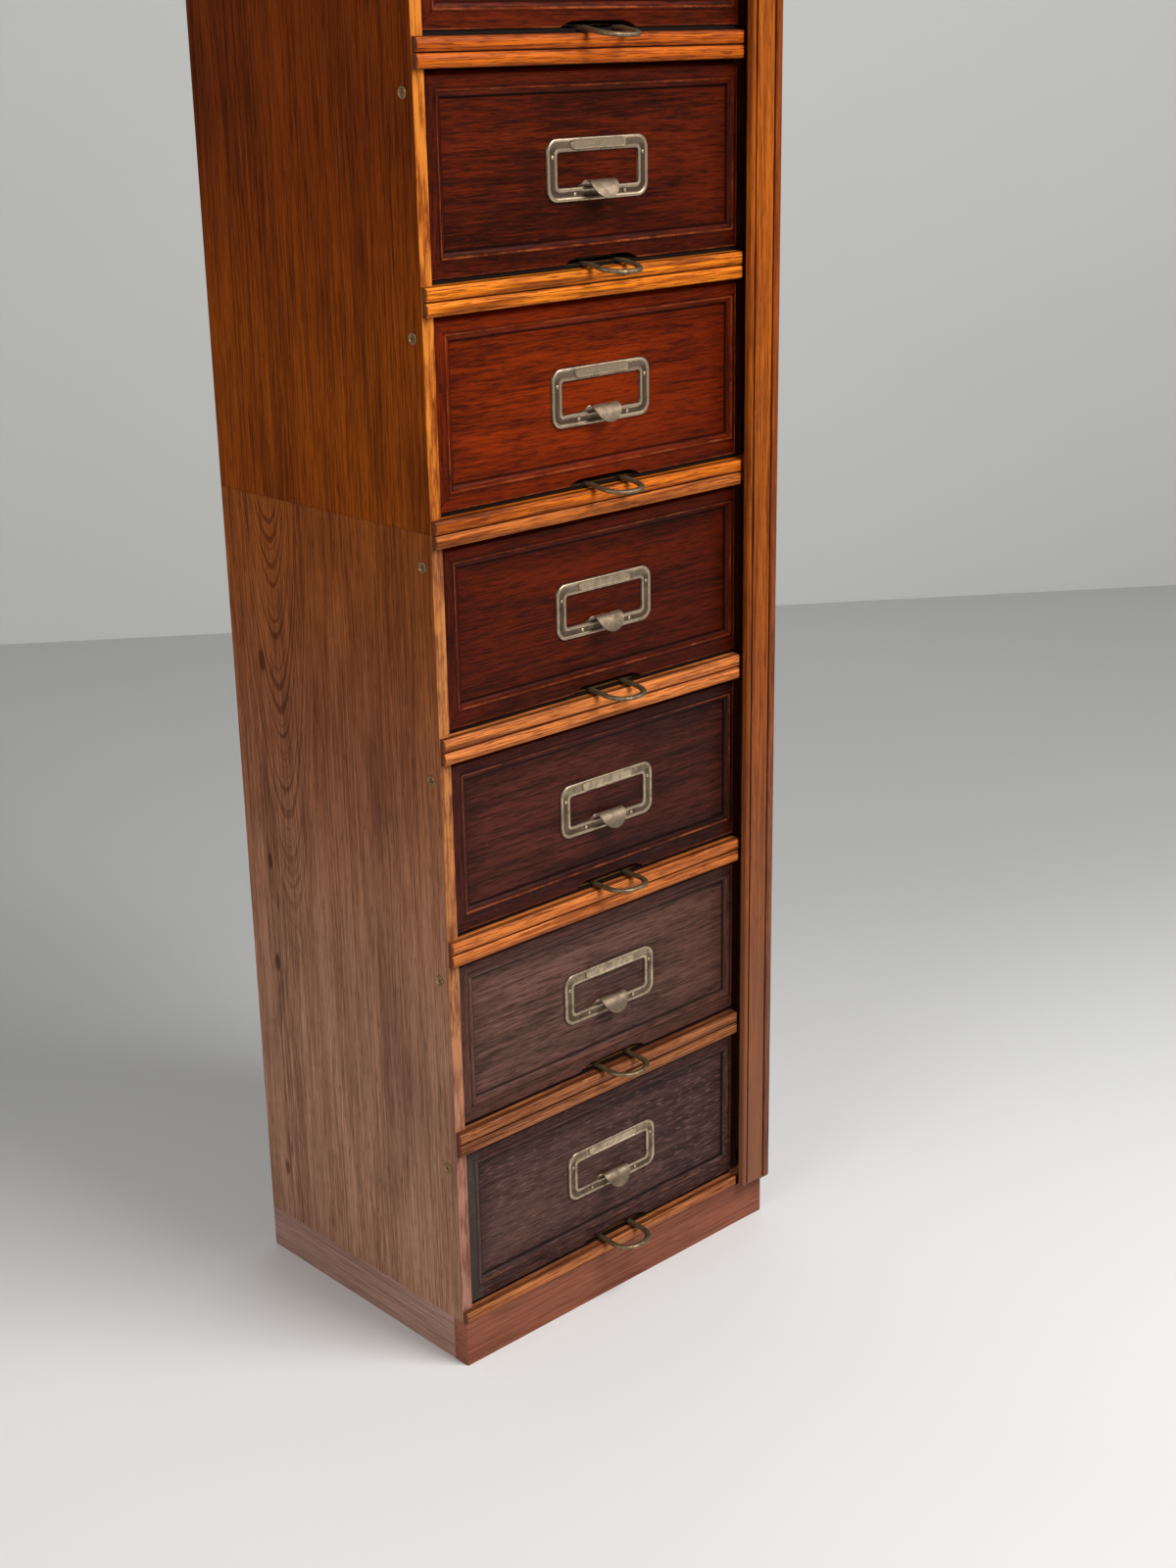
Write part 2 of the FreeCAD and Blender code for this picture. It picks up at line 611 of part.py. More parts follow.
def front_panel(base):
    """Flat panel let into the rebate of the frame from behind."""
    reach = REBATE_WIDTH - PANEL_CLEARANCE
    panel = block(FIELD_LEFT - reach, FIELD_RIGHT + reach,
                  FIELD_FACE, FIELD_FACE + PANEL_THICKNESS,
                  base + FIELD_BOTTOM - reach, base + FIELD_TOP + reach)
    return panel.cut(pivot_bores(base))


# Label holders

def label_holder(base):
    """Pressed plate with a rimmed window, a bare cartouche and a rolled tongue."""
    x = FITTING_MIDDLE
    middle = base + HOLDER_MIDDLE
    face = FIELD_FACE - HOLDER_THICKNESS
    sill = middle - WINDOW_HEIGHT / 2
    plate = rounded_plate(HOLDER_WIDTH, HOLDER_HEIGHT, HOLDER_ROUNDING, face, FIELD_FACE, x, middle)
    rim_half_width = WINDOW_WIDTH / 2 + RIM_WIDTH
    rim = block(x - rim_half_width, x + rim_half_width, face - RIM_HEIGHT, face,
                sill - RIM_WIDTH, sill + WINDOW_HEIGHT)
    window = block(x - WINDOW_WIDTH / 2, x + WINDOW_WIDTH / 2, face - RIM_HEIGHT, FIELD_FACE,
                   sill, sill + WINDOW_HEIGHT)
    cartouche_top = middle + HOLDER_HEIGHT / 2 - CARTOUCHE_MARGIN
    cartouche = rounded_plate(CARTOUCHE_WIDTH, CARTOUCHE_HEIGHT, CARTOUCHE_HEIGHT / 2,
                              face - CARTOUCHE_RISE, face, x, cartouche_top - CARTOUCHE_HEIGHT / 2)
    holder = joined(plate, rim, cartouche).cut(window)
    return joined(holder, holder_tongue(face, sill))


def holder_tongue(face, sill):
    """Tongue that rises behind the sill, rolls forward and points down."""
    reach = TONGUE_REACH
    inner = reach - TONGUE_THICKNESS
    crest = sill + TONGUE_RISE
    end = crest - reach
    root = TONGUE_WIDTH / 2
    neck = TONGUE_CREST_WIDTH / 2
    tip = TONGUE_TIP_WIDTH / 2
    x = FITTING_MIDDLE
    roll = prism(
        "x", x - neck, x + neck,
        (face, end + inner), (face, crest),
        (face - reach, end, -QUARTER_ROUND, CURVE_FLATS), (face - inner, end),
        (face, end + inner, QUARTER_ROUND, CURVE_FLATS))
    shape = prism(
        "y", face - reach, FIELD_FACE,
        (x - neck, crest), (x - tip, end + tip), (x + tip, end + tip, -HALF_ROUND, TIP_FLATS),
        (x + neck, crest))
    web = prism(
        "y", face, FIELD_FACE,
        (x - root, sill), (x - neck, crest, TONGUE_BEND, CORNER_FLATS), (x + neck, crest),
        (x + root, sill, TONGUE_BEND, CORNER_FLATS))
    return joined(roll.common(shape), web)


# Pivot screws

def front_pivots():
    """Dimpled screws through the left sides, headless pins in the inner uprights."""
    right_reach = UPRIGHT_THICKNESS + FRONT_RIGHT_CLEARANCE + PIVOT_REACH
    pieces = []
    for section in range(len(SECTION_NAMES)):
        for row in range(FRONTS_IN_SECTION):
            height = opening_bottom(section, row) + PIVOT_HEIGHT
            pieces.append(pivot_screw(height))
            pieces.append(rod(V(UPRIGHT_RIGHT, PIVOT_Y, height), V(-1, 0, 0), right_reach, PIVOT_RADIUS))
    return Part.makeCompound(pieces)


def pivot_screw(height):
    """Round head with a dimple on the left side's face, shank into the front."""
    reach = SIDE_THICKNESS + FRONT_LEFT_CLEARANCE + PIVOT_REACH
    foot = V(0, PIVOT_Y, height)
    outer = foot - V(PIVOT_HEAD_HEIGHT, 0, 0)
    head = rod(foot, V(-1, 0, 0), PIVOT_HEAD_HEIGHT, PIVOT_HEAD_RADIUS)
    shank = rod(foot, V(1, 0, 0), reach, PIVOT_RADIUS)
    dimple = rod(outer, V(1, 0, 0), PIVOT_DIMPLE_DEPTH, PIVOT_DIMPLE_RADIUS)
    return joined(head, shank).cut(dimple)


# File trays

def file_tray(base, droop):
    """Thin board with a fence at the back and two curved wings."""
    low = base + TRAY_CLEARANCE
    top = base + TRAY_TOP
    board = block(TRAY_LEFT, TRAY_RIGHT, TRAY_FRONT, TRAY_BACK, low, top)
    board = board.cut(loop_wire(base, droop))
    inner_left = INNER_LEFT + GUIDE_WIDTH + TRAY_SIDE_CLEARANCE
    inner_right = UPRIGHT_LEFT - GUIDE_WIDTH - TRAY_SIDE_CLEARANCE
    fence_front = TRAY_BACK - FENCE_THICKNESS
    fence = block(inner_left, inner_right, fence_front, TRAY_BACK, top, top + FENCE_HEIGHT)
    wings = []
    for x0 in (inner_left, inner_right - WING_THICKNESS):
        start = fence_front - WING_LENGTH
        wings.append(prism(
            "x", x0, x0 + WING_THICKNESS,
            (start, top), (start, top + WING_FRONT_HEIGHT),
            (fence_front, top + FENCE_HEIGHT, -WING_BEND), (fence_front, top)))
    return Part.makeCompound([board, fence] + wings)


def loop_path(base, droop):
    """Middle line of a loop: level legs, bent down over the rail to a round front."""
    half = LOOP_SPAN / 2
    centre = half - LOOP_CORNER_RADIUS
    length = LOOP_LENGTH - WIRE_HALF_WIDTH
    height = base + LOOP_LIFT
    plan = [(-half, TRAY_FRONT + LOOP_LEG), (-half, LOOP_BEND)]
    for side, first in ((-1, 0), (1, LOOP_CORNER_CHORDS)):
        for chord in range(LOOP_CORNER_CHORDS + 1):
            turn = math.radians(90) * abs(first - chord) / LOOP_CORNER_CHORDS
            forward = length - LOOP_CORNER_RADIUS * (1 - math.sin(turn))
            plan.append((side * (centre + LOOP_CORNER_RADIUS * math.cos(turn)), LOOP_BEND - forward))
    plan += [(half, LOOP_BEND), (half, TRAY_FRONT + LOOP_LEG)]
    path = []
    for x, y in plan:
        forward = max(LOOP_BEND - y, 0)
        path.append(V(FITTING_MIDDLE + x, y + forward * (1 - math.cos(droop)),
                      height - forward * math.sin(droop)))
    return path


def loop_wire(base, droop):
    """Eight-sided flattened wire along the loop's middle line."""
    path = loop_path(base, droop)
    ring = []
    for corner in range(WIRE_SIDES):
        turn = math.radians(360) * corner / WIRE_SIDES
        ring.append(path[0] + V(WIRE_HALF_WIDTH * math.cos(turn), 0, WIRE_HALF_HEIGHT * math.sin(turn)))
    section = Part.makePolygon(ring + [ring[0]])
    return Part.makePolygon(path).makePipeShell([section], True, False, 1)


def pull_loop(base, droop):
    """Wire loop with the clamp plate that holds its legs on the tray."""
    y0 = TRAY_FRONT + CLAMP_INSET
    x0 = FITTING_MIDDLE - CLAMP_WIDTH / 2
    x1 = FITTING_MIDDLE + CLAMP_WIDTH / 2
    low = base + LOOP_LIFT + WIRE_HALF_HEIGHT
    plate = block(x0, x1, y0, y0 + CLAMP_LENGTH, low, low + CLAMP_THICKNESS)
    feet = [block(x, x + CLAMP_FOOT_WIDTH, y0, y0 + CLAMP_LENGTH, base + TRAY_TOP, low)
            for x in (x0, x1 - CLAMP_FOOT_WIDTH)]
    return Part.makeCompound([loop_wire(base, droop), joined(plate, *feet)])


def write(name, shape):
    """Moves a finished piece to the chest's own origin and writes it."""
    shape = shape.copy()
    shape.translate(ORIGIN.negative())
    shape.exportStep("parts/" + name + ".step")


os.makedirs("parts", exist_ok=True)
write("plinth_front_board", plinth_front_board())
write("plinth_frame", plinth_frame())
write("top_board", top_board())
write("lock_bar", lock_bar())
write("bar_batten", bar_batten())
write("bar_pivots", bar_pivots())
write("bar_lock", bar_lock())
write("front_pivots", front_pivots())
for section, name in enumerate(SECTION_NAMES):
    write(name + "_left_side", left_side(section))
    write(name + "_right_side", right_side(section))
    write(name + "_inner_upright", inner_upright(section))
    write(name + "_shelves", shelves(section))
    write(name + "_end_boards", end_boards(section))
    write(name + "_back_panel", back_panel(section))
    for row in range(FRONTS_IN_SECTION):
        base = opening_bottom(section, row)
        place = section * FRONTS_IN_SECTION + row
        droop = math.radians(LOOP_DROOP_ANGLES[place])
        number = str(place + 1)
        write("front_frame_" + number, front_frame(base))
        write("front_panel_" + number, front_panel(base))
        write("label_holder_" + number, label_holder(base))
        write("file_tray_" + number, file_tray(base, droop))
        write("pull_loop_" + number, pull_loop(base, droop))
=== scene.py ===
import bmesh
import bpy
import math
from mathutils import Matrix, Vector


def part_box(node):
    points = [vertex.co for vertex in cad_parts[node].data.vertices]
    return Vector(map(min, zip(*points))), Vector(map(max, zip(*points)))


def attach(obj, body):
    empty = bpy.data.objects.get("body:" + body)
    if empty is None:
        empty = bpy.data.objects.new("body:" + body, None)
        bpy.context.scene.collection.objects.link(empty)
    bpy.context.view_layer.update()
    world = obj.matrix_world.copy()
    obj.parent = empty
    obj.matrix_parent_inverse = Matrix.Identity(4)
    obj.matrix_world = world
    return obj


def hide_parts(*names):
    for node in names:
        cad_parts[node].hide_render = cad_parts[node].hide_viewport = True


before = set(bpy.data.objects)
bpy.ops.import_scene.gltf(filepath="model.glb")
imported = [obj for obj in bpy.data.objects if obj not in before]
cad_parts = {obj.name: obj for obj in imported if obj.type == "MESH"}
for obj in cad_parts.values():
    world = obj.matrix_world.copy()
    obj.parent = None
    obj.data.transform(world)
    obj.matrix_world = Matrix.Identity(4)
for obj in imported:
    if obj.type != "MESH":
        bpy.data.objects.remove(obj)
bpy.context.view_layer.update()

# Side boards of the case. Oak with upright grain, stained brown: the upper
# section's is plain and reddish, the lower one's greyer with a pointed figure.
# Their sawn front edges are a lighter orange and worn along the corner.


class Reading:
    """A number that varies over a surface; arithmetic on it adds Math nodes."""

    def __init__(self, finish, socket):
        self.finish = finish
        self.socket = socket

    def math(self, operation, *others):
        return self.finish.node("ShaderNodeMath", {"operation": operation}, (self,) + others)

    def __abs__(self):
        return self.math("ABSOLUTE")

    def __add__(self, other):
        return self.math("ADD", other)

    def __sub__(self, other):
        return self.math("SUBTRACT", other)

    def __rsub__(self, other):
        return self.finish.node("ShaderNodeMath", {"operation": "SUBTRACT"}, (other, self))

    def __mul__(self, other):
        return self.math("MULTIPLY", other)

    def __truediv__(self, other):
        return self.math("DIVIDE", other)

    __radd__ = __add__
    __rmul__ = __mul__


class Finish:
    """One material: a node tree that ends in a single Principled shader."""

    def __init__(self, name):
        self.material = bpy.data.materials.new(name)
        self.material.use_nodes = True
        self.tree = self.material.node_tree
        self.tree.nodes.clear()
        self.place = self.node("ShaderNodeTexCoord", output="Object")

    def node(self, kind, settings=None, inputs=(), output=0):
        """Adds a node. Settings come first, then the values or links of its sockets."""
        made = self.tree.nodes.new(kind)
        for name, value in (settings or {}).items():
            if name == "stops":
                while len(made.color_ramp.elements) < len(value):
                    made.color_ramp.elements.new(0.5)
                for element, (position, colour) in zip(made.color_ramp.elements, value):
                    element.position = position
                    element.color = colour
            else:
                setattr(made, name, value)
        items = inputs.items() if isinstance(inputs, dict) else enumerate(inputs)
        for key, value in items:
            if isinstance(value, Reading):
                self.tree.links.new(value.socket, made.inputs[key])
            else:
                made.inputs[key].default_value = value
        return Reading(self, made.outputs[output])

    def mix(self, amount, first, second, blend="MIX"):
        """Colour between two colours."""
        return self.node("ShaderNodeMix", {"data_type": "RGBA", "blend_type": blend},
                         {0: amount, 6: first, 7: second}, output=2)

    def stained(self, colour, amount, stain):
        """Colour darkened by a stain, as far as amount says."""
        return self.mix(amount, colour, stain, "MULTIPLY")

    def stretched(self, scale, offset=(0, 0, 0)):
        """Object coordinates, moved and then scaled along each axis."""
        return self.node("ShaderNodeMapping", {"vector_type": "POINT"},
                         {"Vector": self.place, "Location": offset, "Scale": scale})

    def noise(self, where, scale, detail=3.0, roughness=0.55, distortion=0.0):
        return self.node("ShaderNodeTexNoise", {"noise_dimensions": "3D"},
                         {"Vector": where, "Scale": scale, "Detail": detail,
                          "Roughness": roughness, "Distortion": distortion}, output="Fac")

    def between(self, value, low, high):
        """0 below low and 1 above high, smooth between."""
        return self.node("ShaderNodeMapRange", {"interpolation_type": "SMOOTHSTEP"},
                         {"Value": value, "From Min": low, "From Max": high}, output="Result")

    def near(self, value, middle, inner, outer):
        """1 within inner of the middle and 0 beyond outer."""
        return 1 - self.between(abs(value - middle), inner, outer)

    def parts(self):
        """The x, y and z of the place as three readings."""
        split = self.node("ShaderNodeSeparateXYZ", inputs=(self.place,))
        outputs = split.socket.node.outputs
        return [Reading(self, outputs[axis]) for axis in ("X", "Y", "Z")]

    def done(self, colour, roughness, height=None, relief=0.0001, metallic=0.0, specular=0.14):
        """Closes the tree; height is a bump as deep as relief. Gives the material."""
        inputs = {"Base Color": colour, "Roughness": roughness, "Metallic": metallic,
                  "Specular IOR Level": specular}
        if height is not None:
            inputs["Normal"] = self.node("ShaderNodeBump", inputs={
                "Height": height, "Distance": relief, "Strength": 1.0}, output="Normal")
        shader = self.node("ShaderNodeBsdfPrincipled", inputs=inputs, output="BSDF")
        end = self.tree.nodes.new("ShaderNodeOutputMaterial")
        self.tree.links.new(shader.socket, end.inputs["Surface"])
        return self.material


def tone(red, green, blue):
    """A colour as a screen shows it, 0 to 255, turned into the shader's linear values."""
    return tuple(
        channel / 12.92 if channel <= 0.04045 else ((channel + 0.055) / 1.055) ** 2.4
        for channel in (red / 255, green / 255, blue / 255)) + (1.0,)


def shade(colour, factor):
    """The same hue, as many times as bright."""
    return tuple(channel * factor for channel in colour[:3]) + (1.0,)


def run_of_grain(axis, along, across=1.0):
    """Scale of a pattern that is long along the grain and narrow across it."""
    return tuple(along if name == axis else across for name in "xyz")


def oak(name, axis, light, dark, seed, pore_depth=0.55, streak=0.5, gloss=0.42, tint=None,
        below=None, specular=0.14):
    """Open-grained oak: soft bands, fine lines, dark veins and short dark pores.

    below gives two heights, and the light and dark colours from there down.
    """
    finish = Finish(name)
    shift = (seed * 1.37, seed * 2.11, seed * 0.73)
    bands = finish.noise(finish.stretched(run_of_grain(axis, 0.07), shift), 50, 3, 0.6, 0.6)
    lines = finish.noise(finish.stretched(run_of_grain(axis, 0.022), shift), 560, 3, 0.75)
    veins = finish.noise(finish.stretched(run_of_grain(axis, 0.03), shift), 190, 2, 0.5, 0.4)
    pores = finish.noise(finish.stretched(run_of_grain(axis, 0.05), shift), 1050, 1, 0.5)
    clouds = finish.noise(finish.stretched((1, 1, 1), shift), 6, 3, 0.5)
    if below:
        down = 1 - finish.between(finish.parts()[2], *below[0])
        light, dark = finish.mix(down, light, below[1]), finish.mix(down, dark, below[2])
    vein = finish.between(veins, 0.56, 0.70) * streak
    pore = finish.between(pores, 0.56, 0.66) * pore_depth
    lightness = finish.between(bands * 0.3 + lines * 0.7, 0.36, 0.64)
    colour = finish.mix(lightness, dark, light)
    colour = finish.stained(colour, vein, VEIN_STAIN_AND_SHADE)
    colour = finish.stained(colour, pore, PORE_STAIN)
    colour = finish.stained(colour, finish.between(clouds, 0.35, 0.70) * 0.6, CLOUD_STAIN_AND_SHADE)
    if tint:
        colour = tint(finish, colour)
    rough = lines * 0.16 + pore * 0.25 + gloss
    height = lines * 0.3 - pore
    return finish.done(colour, rough, height, 0.00012, specular=specular)


def edge_tint(finish, body, light, dark):
    """A board's front edge: sawn along the grain, lighter, with streaks and worn patches."""
    y = finish.parts()[1]
    ticks = finish.noise(finish.stretched((1, 1, 0.07)), 460, 3, 0.7)
    patches = finish.noise(finish.stretched((1, 1, 0.3)), 70, 3, 0.6)
    edge = finish.mix(finish.between(ticks * 0.55 + patches * 0.45, 0.40, 0.60), dark, light)
    at_front = 1 - finish.between(y, case_low.y + 0.0003, case_low.y + 0.0010)
    return finish.mix(at_front * 0.92, body, edge)


def joint_tint(finish, colour):
    """Dark line where the upper section stands on the lower one."""
    gap = finish.near(finish.parts()[2], case_high.z, 0.0005, 0.0014)
    return finish.stained(colour, gap * 0.6, CLOUD_STAIN_AND_SHADE)


def figure_tint(finish, colour):
    """Nested pointed year rings of a board sawn off centre, with knots and a long stain."""
    y, z = finish.parts()[1:]
    waver = finish.noise(finish.stretched((1, 1, 0.3)), 16, 3, 0.5)
    off = y - FIGURE_MIDDLE
    reach = z - off * off * RING_POINT + waver * 0.03
    rings = finish.node("ShaderNodeTexNoise", {"noise_dimensions": "1D"},
                        {"W": reach, "Scale": RINGS_A_METRE, "Detail": 1.5}, output="Fac")
    ring = finish.between(rings, 0.50, 0.62) * (1 - finish.between(abs(off), 0.045, 0.085))
    ring = ring * finish.between(z, 0.25, 0.60)
    colour = finish.stained(colour, ring * 0.85, VEIN_STAIN_AND_SHADE)
    thread = finish.noise(finish.stretched((1, 1, 0.04)), 330, 2, 0.6, 1.2)
    wild = finish.near(y - waver * 0.05, WILD_GRAIN, 0.004, 0.015)
    wild = wild * finish.between(thread, 0.46, 0.58) * (1 - finish.between(z, 0.4, 0.6))
    colour = finish.stained(colour, wild * 0.8, VEIN_STAIN_AND_SHADE)
    for knot_y, knot_z, size in KNOTS:
        spread = finish.node("ShaderNodeVectorMath", {"operation": "DISTANCE"}, {
            0: finish.node("ShaderNodeCombineXYZ", inputs={1: y + waver * 0.008, 2: z * 0.45}),
            1: (0, knot_y + 0.004, knot_z * 0.45)}, output="Value")
        knot = 1 - finish.between(spread, size * 0.4, size)
        colour = finish.stained(colour, knot * 0.95, PORE_STAIN)
    stain = finish.near(y, LONG_STAIN, 0.004, 0.034) * finish.between(z, 0.12, 0.34)
    stain = stain * (1 - finish.between(z, 0.46, 0.66))
    return finish.stained(colour, stain * 0.8, CLOUD_STAIN_AND_SHADE)


def dress(nodes, material):
    """Puts one material on CAD nodes, whose meshes stay as they are."""
    for name in nodes:
        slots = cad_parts[name].data.materials
        slots.clear()
        slots.append(material)


case_low, case_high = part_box("lower_left_side")
VEIN_STAIN_AND_SHADE = (0.44, 0.38, 0.36, 1)
PORE_STAIN = (0.34, 0.28, 0.26, 1)
CLOUD_STAIN_AND_SHADE = (0.70, 0.68, 0.68, 1)
UPPER_OAK = tone(138, 59, 3), tone(80, 28, 0)
BROWNER_OAK = tone(158, 76, 4), tone(96, 38, 1)
LOWER_OAK = tone(164, 87, 29), tone(104, 48, 14)
LOWEST_OAK = tone(186, 138, 111), tone(132, 91, 70)
UPPER_EDGE = tone(228, 136, 50), tone(136, 60, 18)
LOWER_EDGE = tone(208, 134, 72), tone(130, 72, 44)
LOWEST_EDGE = tone(182, 132, 112), tone(128, 76, 62)
FIGURE_MIDDLE = 0.098
RING_POINT = 95.0
RINGS_A_METRE = 85.0
WILD_GRAIN = 0.101
LONG_STAIN = -0.05
KNOTS = ((0.122, 0.629, 0.0068), (0.131, 0.430, 0.0052), (0.130, 0.325, 0.0056),
         (0.137, 0.100, 0.0052))


def upper_tint(finish, colour):
    """Darker at the back and above, with the joint below and the lighter front edge."""
    y, z = finish.parts()[1:]
    behind = finish.between(y, -0.06, 0.16) * finish.between(z, 0.95, 1.25)
    colour = finish.stained(colour, behind * 0.6, CLOUD_STAIN_AND_SHADE)
    return edge_tint(finish, joint_tint(finish, colour), *UPPER_EDGE)


def lower_tint(finish, colour):
    """Figured, with the joint above and a front edge that goes greyer to the floor."""
    down = 1 - finish.between(finish.parts()[2], 0.10, 0.50)
    light, dark = [finish.mix(down, *pair) for pair in zip(LOWER_EDGE, LOWEST_EDGE)]
    return edge_tint(finish, joint_tint(finish, figure_tint(finish, colour)), light, dark)


dress(["upper_left_side", "upper_right_side"],
      oak("oak_upper_side", "z", *UPPER_OAK, seed=3, streak=0.2, tint=upper_tint, specular=0.06,
          below=((0.86, 1.10), *BROWNER_OAK)))
dress(["lower_left_side", "lower_right_side"],
      oak("oak_lower_side", "z", *LOWER_OAK, seed=8, streak=0.2, tint=lower_tint,
          below=((0.20, 0.80), *LOWEST_OAK), specular=0.08))

# Shelves with reeded rails, and the end boards of the two sections. Honey
# oak with dark veins along the rails; dirt and painted shade sit in the quirks
# between the beads, and the sawn ends are dark. Each rail is worked on its own shelf.

RAIL_OAK = {"upper": (tone(232, 130, 32), tone(138, 62, 12)),
            "lower": (tone(216, 128, 62), tone(132, 68, 36))}
RAIL_DIRT_AND_SHADE = tone(60, 26, 10)
RAIL_END = tone(92, 44, 20)
RAIL_TINTS = ((0.68, 0.73, 0.95), (0.52, 0.58, 0.80), (0.92, 0.84, 0.68), (0.95, 0.93, 0.85),
              (0.72, 0.62, 0.34), (1.0, 1.0, 0.42), (0.62, 0.47, 0.25), (0.76, 0.70, 0.50))
RAIL_BRIGHTER = 1.45
RAIL_BELOW_FRONT = 0.012
RAMP_HEIGHT = 1.6
rail_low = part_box("lower_shelves")[0]


def rail_tint(finish, colour):
    """Each rail a little different, with dirt and painted shade in the quirks and dark end grain at
    the left.
    """
    x, y, z = finish.parts()
    levels = [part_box("front_frame_%d" % number)[0].z - RAIL_BELOW_FRONT
              for number in range(1, len(RAIL_TINTS) + 1)]
    stops = [(level / RAMP_HEIGHT, each + (1,)) for level, each in zip(levels, RAIL_TINTS)]
    by_height = finish.node("ShaderNodeValToRGB", {"stops": stops}, (z / RAMP_HEIGHT,))
    colour = finish.stained(colour, 1.0, by_height)
    quirk_mottle = finish.noise(finish.stretched((0.3, 1, 1)), 120, 3, 0.6)
    deep = finish.between(y, rail_low.y + 0.0016, rail_low.y + 0.0030)
    shallow = 1 - finish.between(y, rail_low.y + 0.0060, rail_low.y + 0.0070)
    # Dirt and painted shade in the quirks between the beads.
    colour = finish.mix(deep * shallow * (quirk_mottle * 0.4 + 0.55), colour, RAIL_DIRT_AND_SHADE)
    end_grain = 1 - finish.between(x, rail_low.x + 0.0002, rail_low.x + 0.0012)
    return finish.mix(end_grain * 0.7, colour, RAIL_END)


for section, seed in (("lower", 5), ("upper", 12)):
    dress([section + "_shelves", section + "_end_boards"],
          oak("oak_rails_" + section, "x",
              *[shade(each, RAIL_BRIGHTER) for each in RAIL_OAK[section]],
              seed=seed, pore_depth=0.8, streak=1.0, gloss=0.36, tint=rail_tint))

# Inner uprights and back panels. Plain softwood boards; the uprights beside
# the fronts are coloured dark as painted shade, for the shaded gap between the fronts and the bar.

dress(["lower_inner_upright", "upper_inner_upright"],
      oak("upright_painted_shade", "z", tone(84, 36, 18), tone(52, 20, 10), seed=21, gloss=0.5))
dress(["lower_back_panel", "upper_back_panel"],
      oak("back_board", "z", tone(120, 84, 52), tone(88, 58, 34), seed=17, streak=0.3,
          gloss=0.62))

# Plinth and top board. The plinth is a box of reddish mahogany boards, and
# the top is oak like the sides.

PLINTH_FRONT = tone(158, 94, 68), tone(118, 62, 43)
PLINTH_SIDE = tone(178, 138, 122), tone(138, 102, 88)
dress(["plinth_front_board"],
      oak("plinth_front_wood", "x", *PLINTH_FRONT, seed=31, pore_depth=0.25, streak=0.2,
          gloss=0.34))
dress(["plinth_frame"],
      oak("plinth_side_wood", "y", *PLINTH_SIDE, seed=33, pore_depth=0.25, streak=0.2,
          gloss=0.34))
dress(["top_board"], oak("oak_top", "x", *UPPER_OAK, seed=36, streak=0.4))

# Locking bar and its fixed batten. Straight-grained oak, orange above and
# browner below, with dirt and painted shade in the quirk beside the bead, and
# painted shade on the faces that lie deep behind the bar's front.

BAR_OAK = tone(198, 103, 20), tone(120, 52, 8)
LOWEST_BAR = tone(134, 90, 68)
BATTEN_OAK = tone(166, 80, 22), tone(104, 44, 12)
LOWEST_BATTEN = tone(150, 94, 66), tone(100, 58, 40)
bar_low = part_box("lock_bar")[0]


def bar_tint(finish, colour):
    """Browner towards the floor; dirt and painted shade beside the bead, painted shade deep behind
    the front.
    """
    x, y, z = finish.parts()
    colour = finish.stained(colour, (1 - finish.between(z, 0.55, 1.0)) * 0.75, CLOUD_STAIN_AND_SHADE)
    colour = finish.mix((1 - finish.between(z, 0.0, 0.75)) * 0.75, colour, LOWEST_BAR)
    # Dirt and painted shade in the quirk, painted shade on faces deep behind the front.
    deep = finish.between(y, bar_low.y + 0.0012, bar_low.y + 0.0024)
    inside = finish.between(x, bar_low.x + 0.0004, bar_low.x + 0.0012)
    hidden_shade = finish.between(y, bar_low.y + 0.0060, bar_low.y + 0.0090)
    dirt = (deep * inside).math("MAXIMUM", hidden_shade)
    return finish.mix(dirt * 0.7, colour, RAIL_DIRT_AND_SHADE)


dress(["lock_bar"], oak("oak_bar", "z", *BAR_OAK, seed=41, streak=0.5, gloss=0.4, tint=bar_tint))
dress(["bar_batten"], oak("oak_batten", "z", *BATTEN_OAK, seed=44, streak=0.5, gloss=0.4,
                          below=((0.2, 0.9), *LOWEST_BATTEN)))

# Lifting fronts. A mitred frame of dark polished wood with a worked inner
# edge round a flat panel. Each front has its own colour: the upper ones are
# redder, the lowest is nearly black and quarter-sawn, with light flecks.

FRONT_COLOURS = {
    1: (tone(95, 66, 59), tone(51, 34, 32)),
    2: (tone(125, 87, 77), tone(71, 48, 42)),
    3: (tone(92, 42, 32), tone(46, 20, 15)),
    4: (tone(98, 28, 3), tone(46, 12, 1)),
    5: (tone(138, 43, 0), tone(70, 18, 0)),
    6: (tone(106, 33, 7), tone(48, 13, 3)),
    7: (tone(118, 38, 6), tone(54, 15, 3)),
    8: (tone(108, 34, 6), tone(50, 14, 3)),
}
MOULDING_WIDTH = 0.005
FRAME_BAND = 0.015
LEFT_BAND = 0.018
RIGHT_BAND = 0.010
SLOPE_LINE = 0.0071
GREY_STILE = tone(46, 42, 40), tone(96, 90, 82)
REDDER_STAIN = (0.78, 0.58, 0.54, 1)
RIGHTWARD_SHADE = (0.62, 0.56, 0.50, 1)
WORN_AND_HIGHLIGHT = {number: tone(176, 92, 52) if number > 2 else tone(142, 88, 70) for number in FRONT_COLOURS}


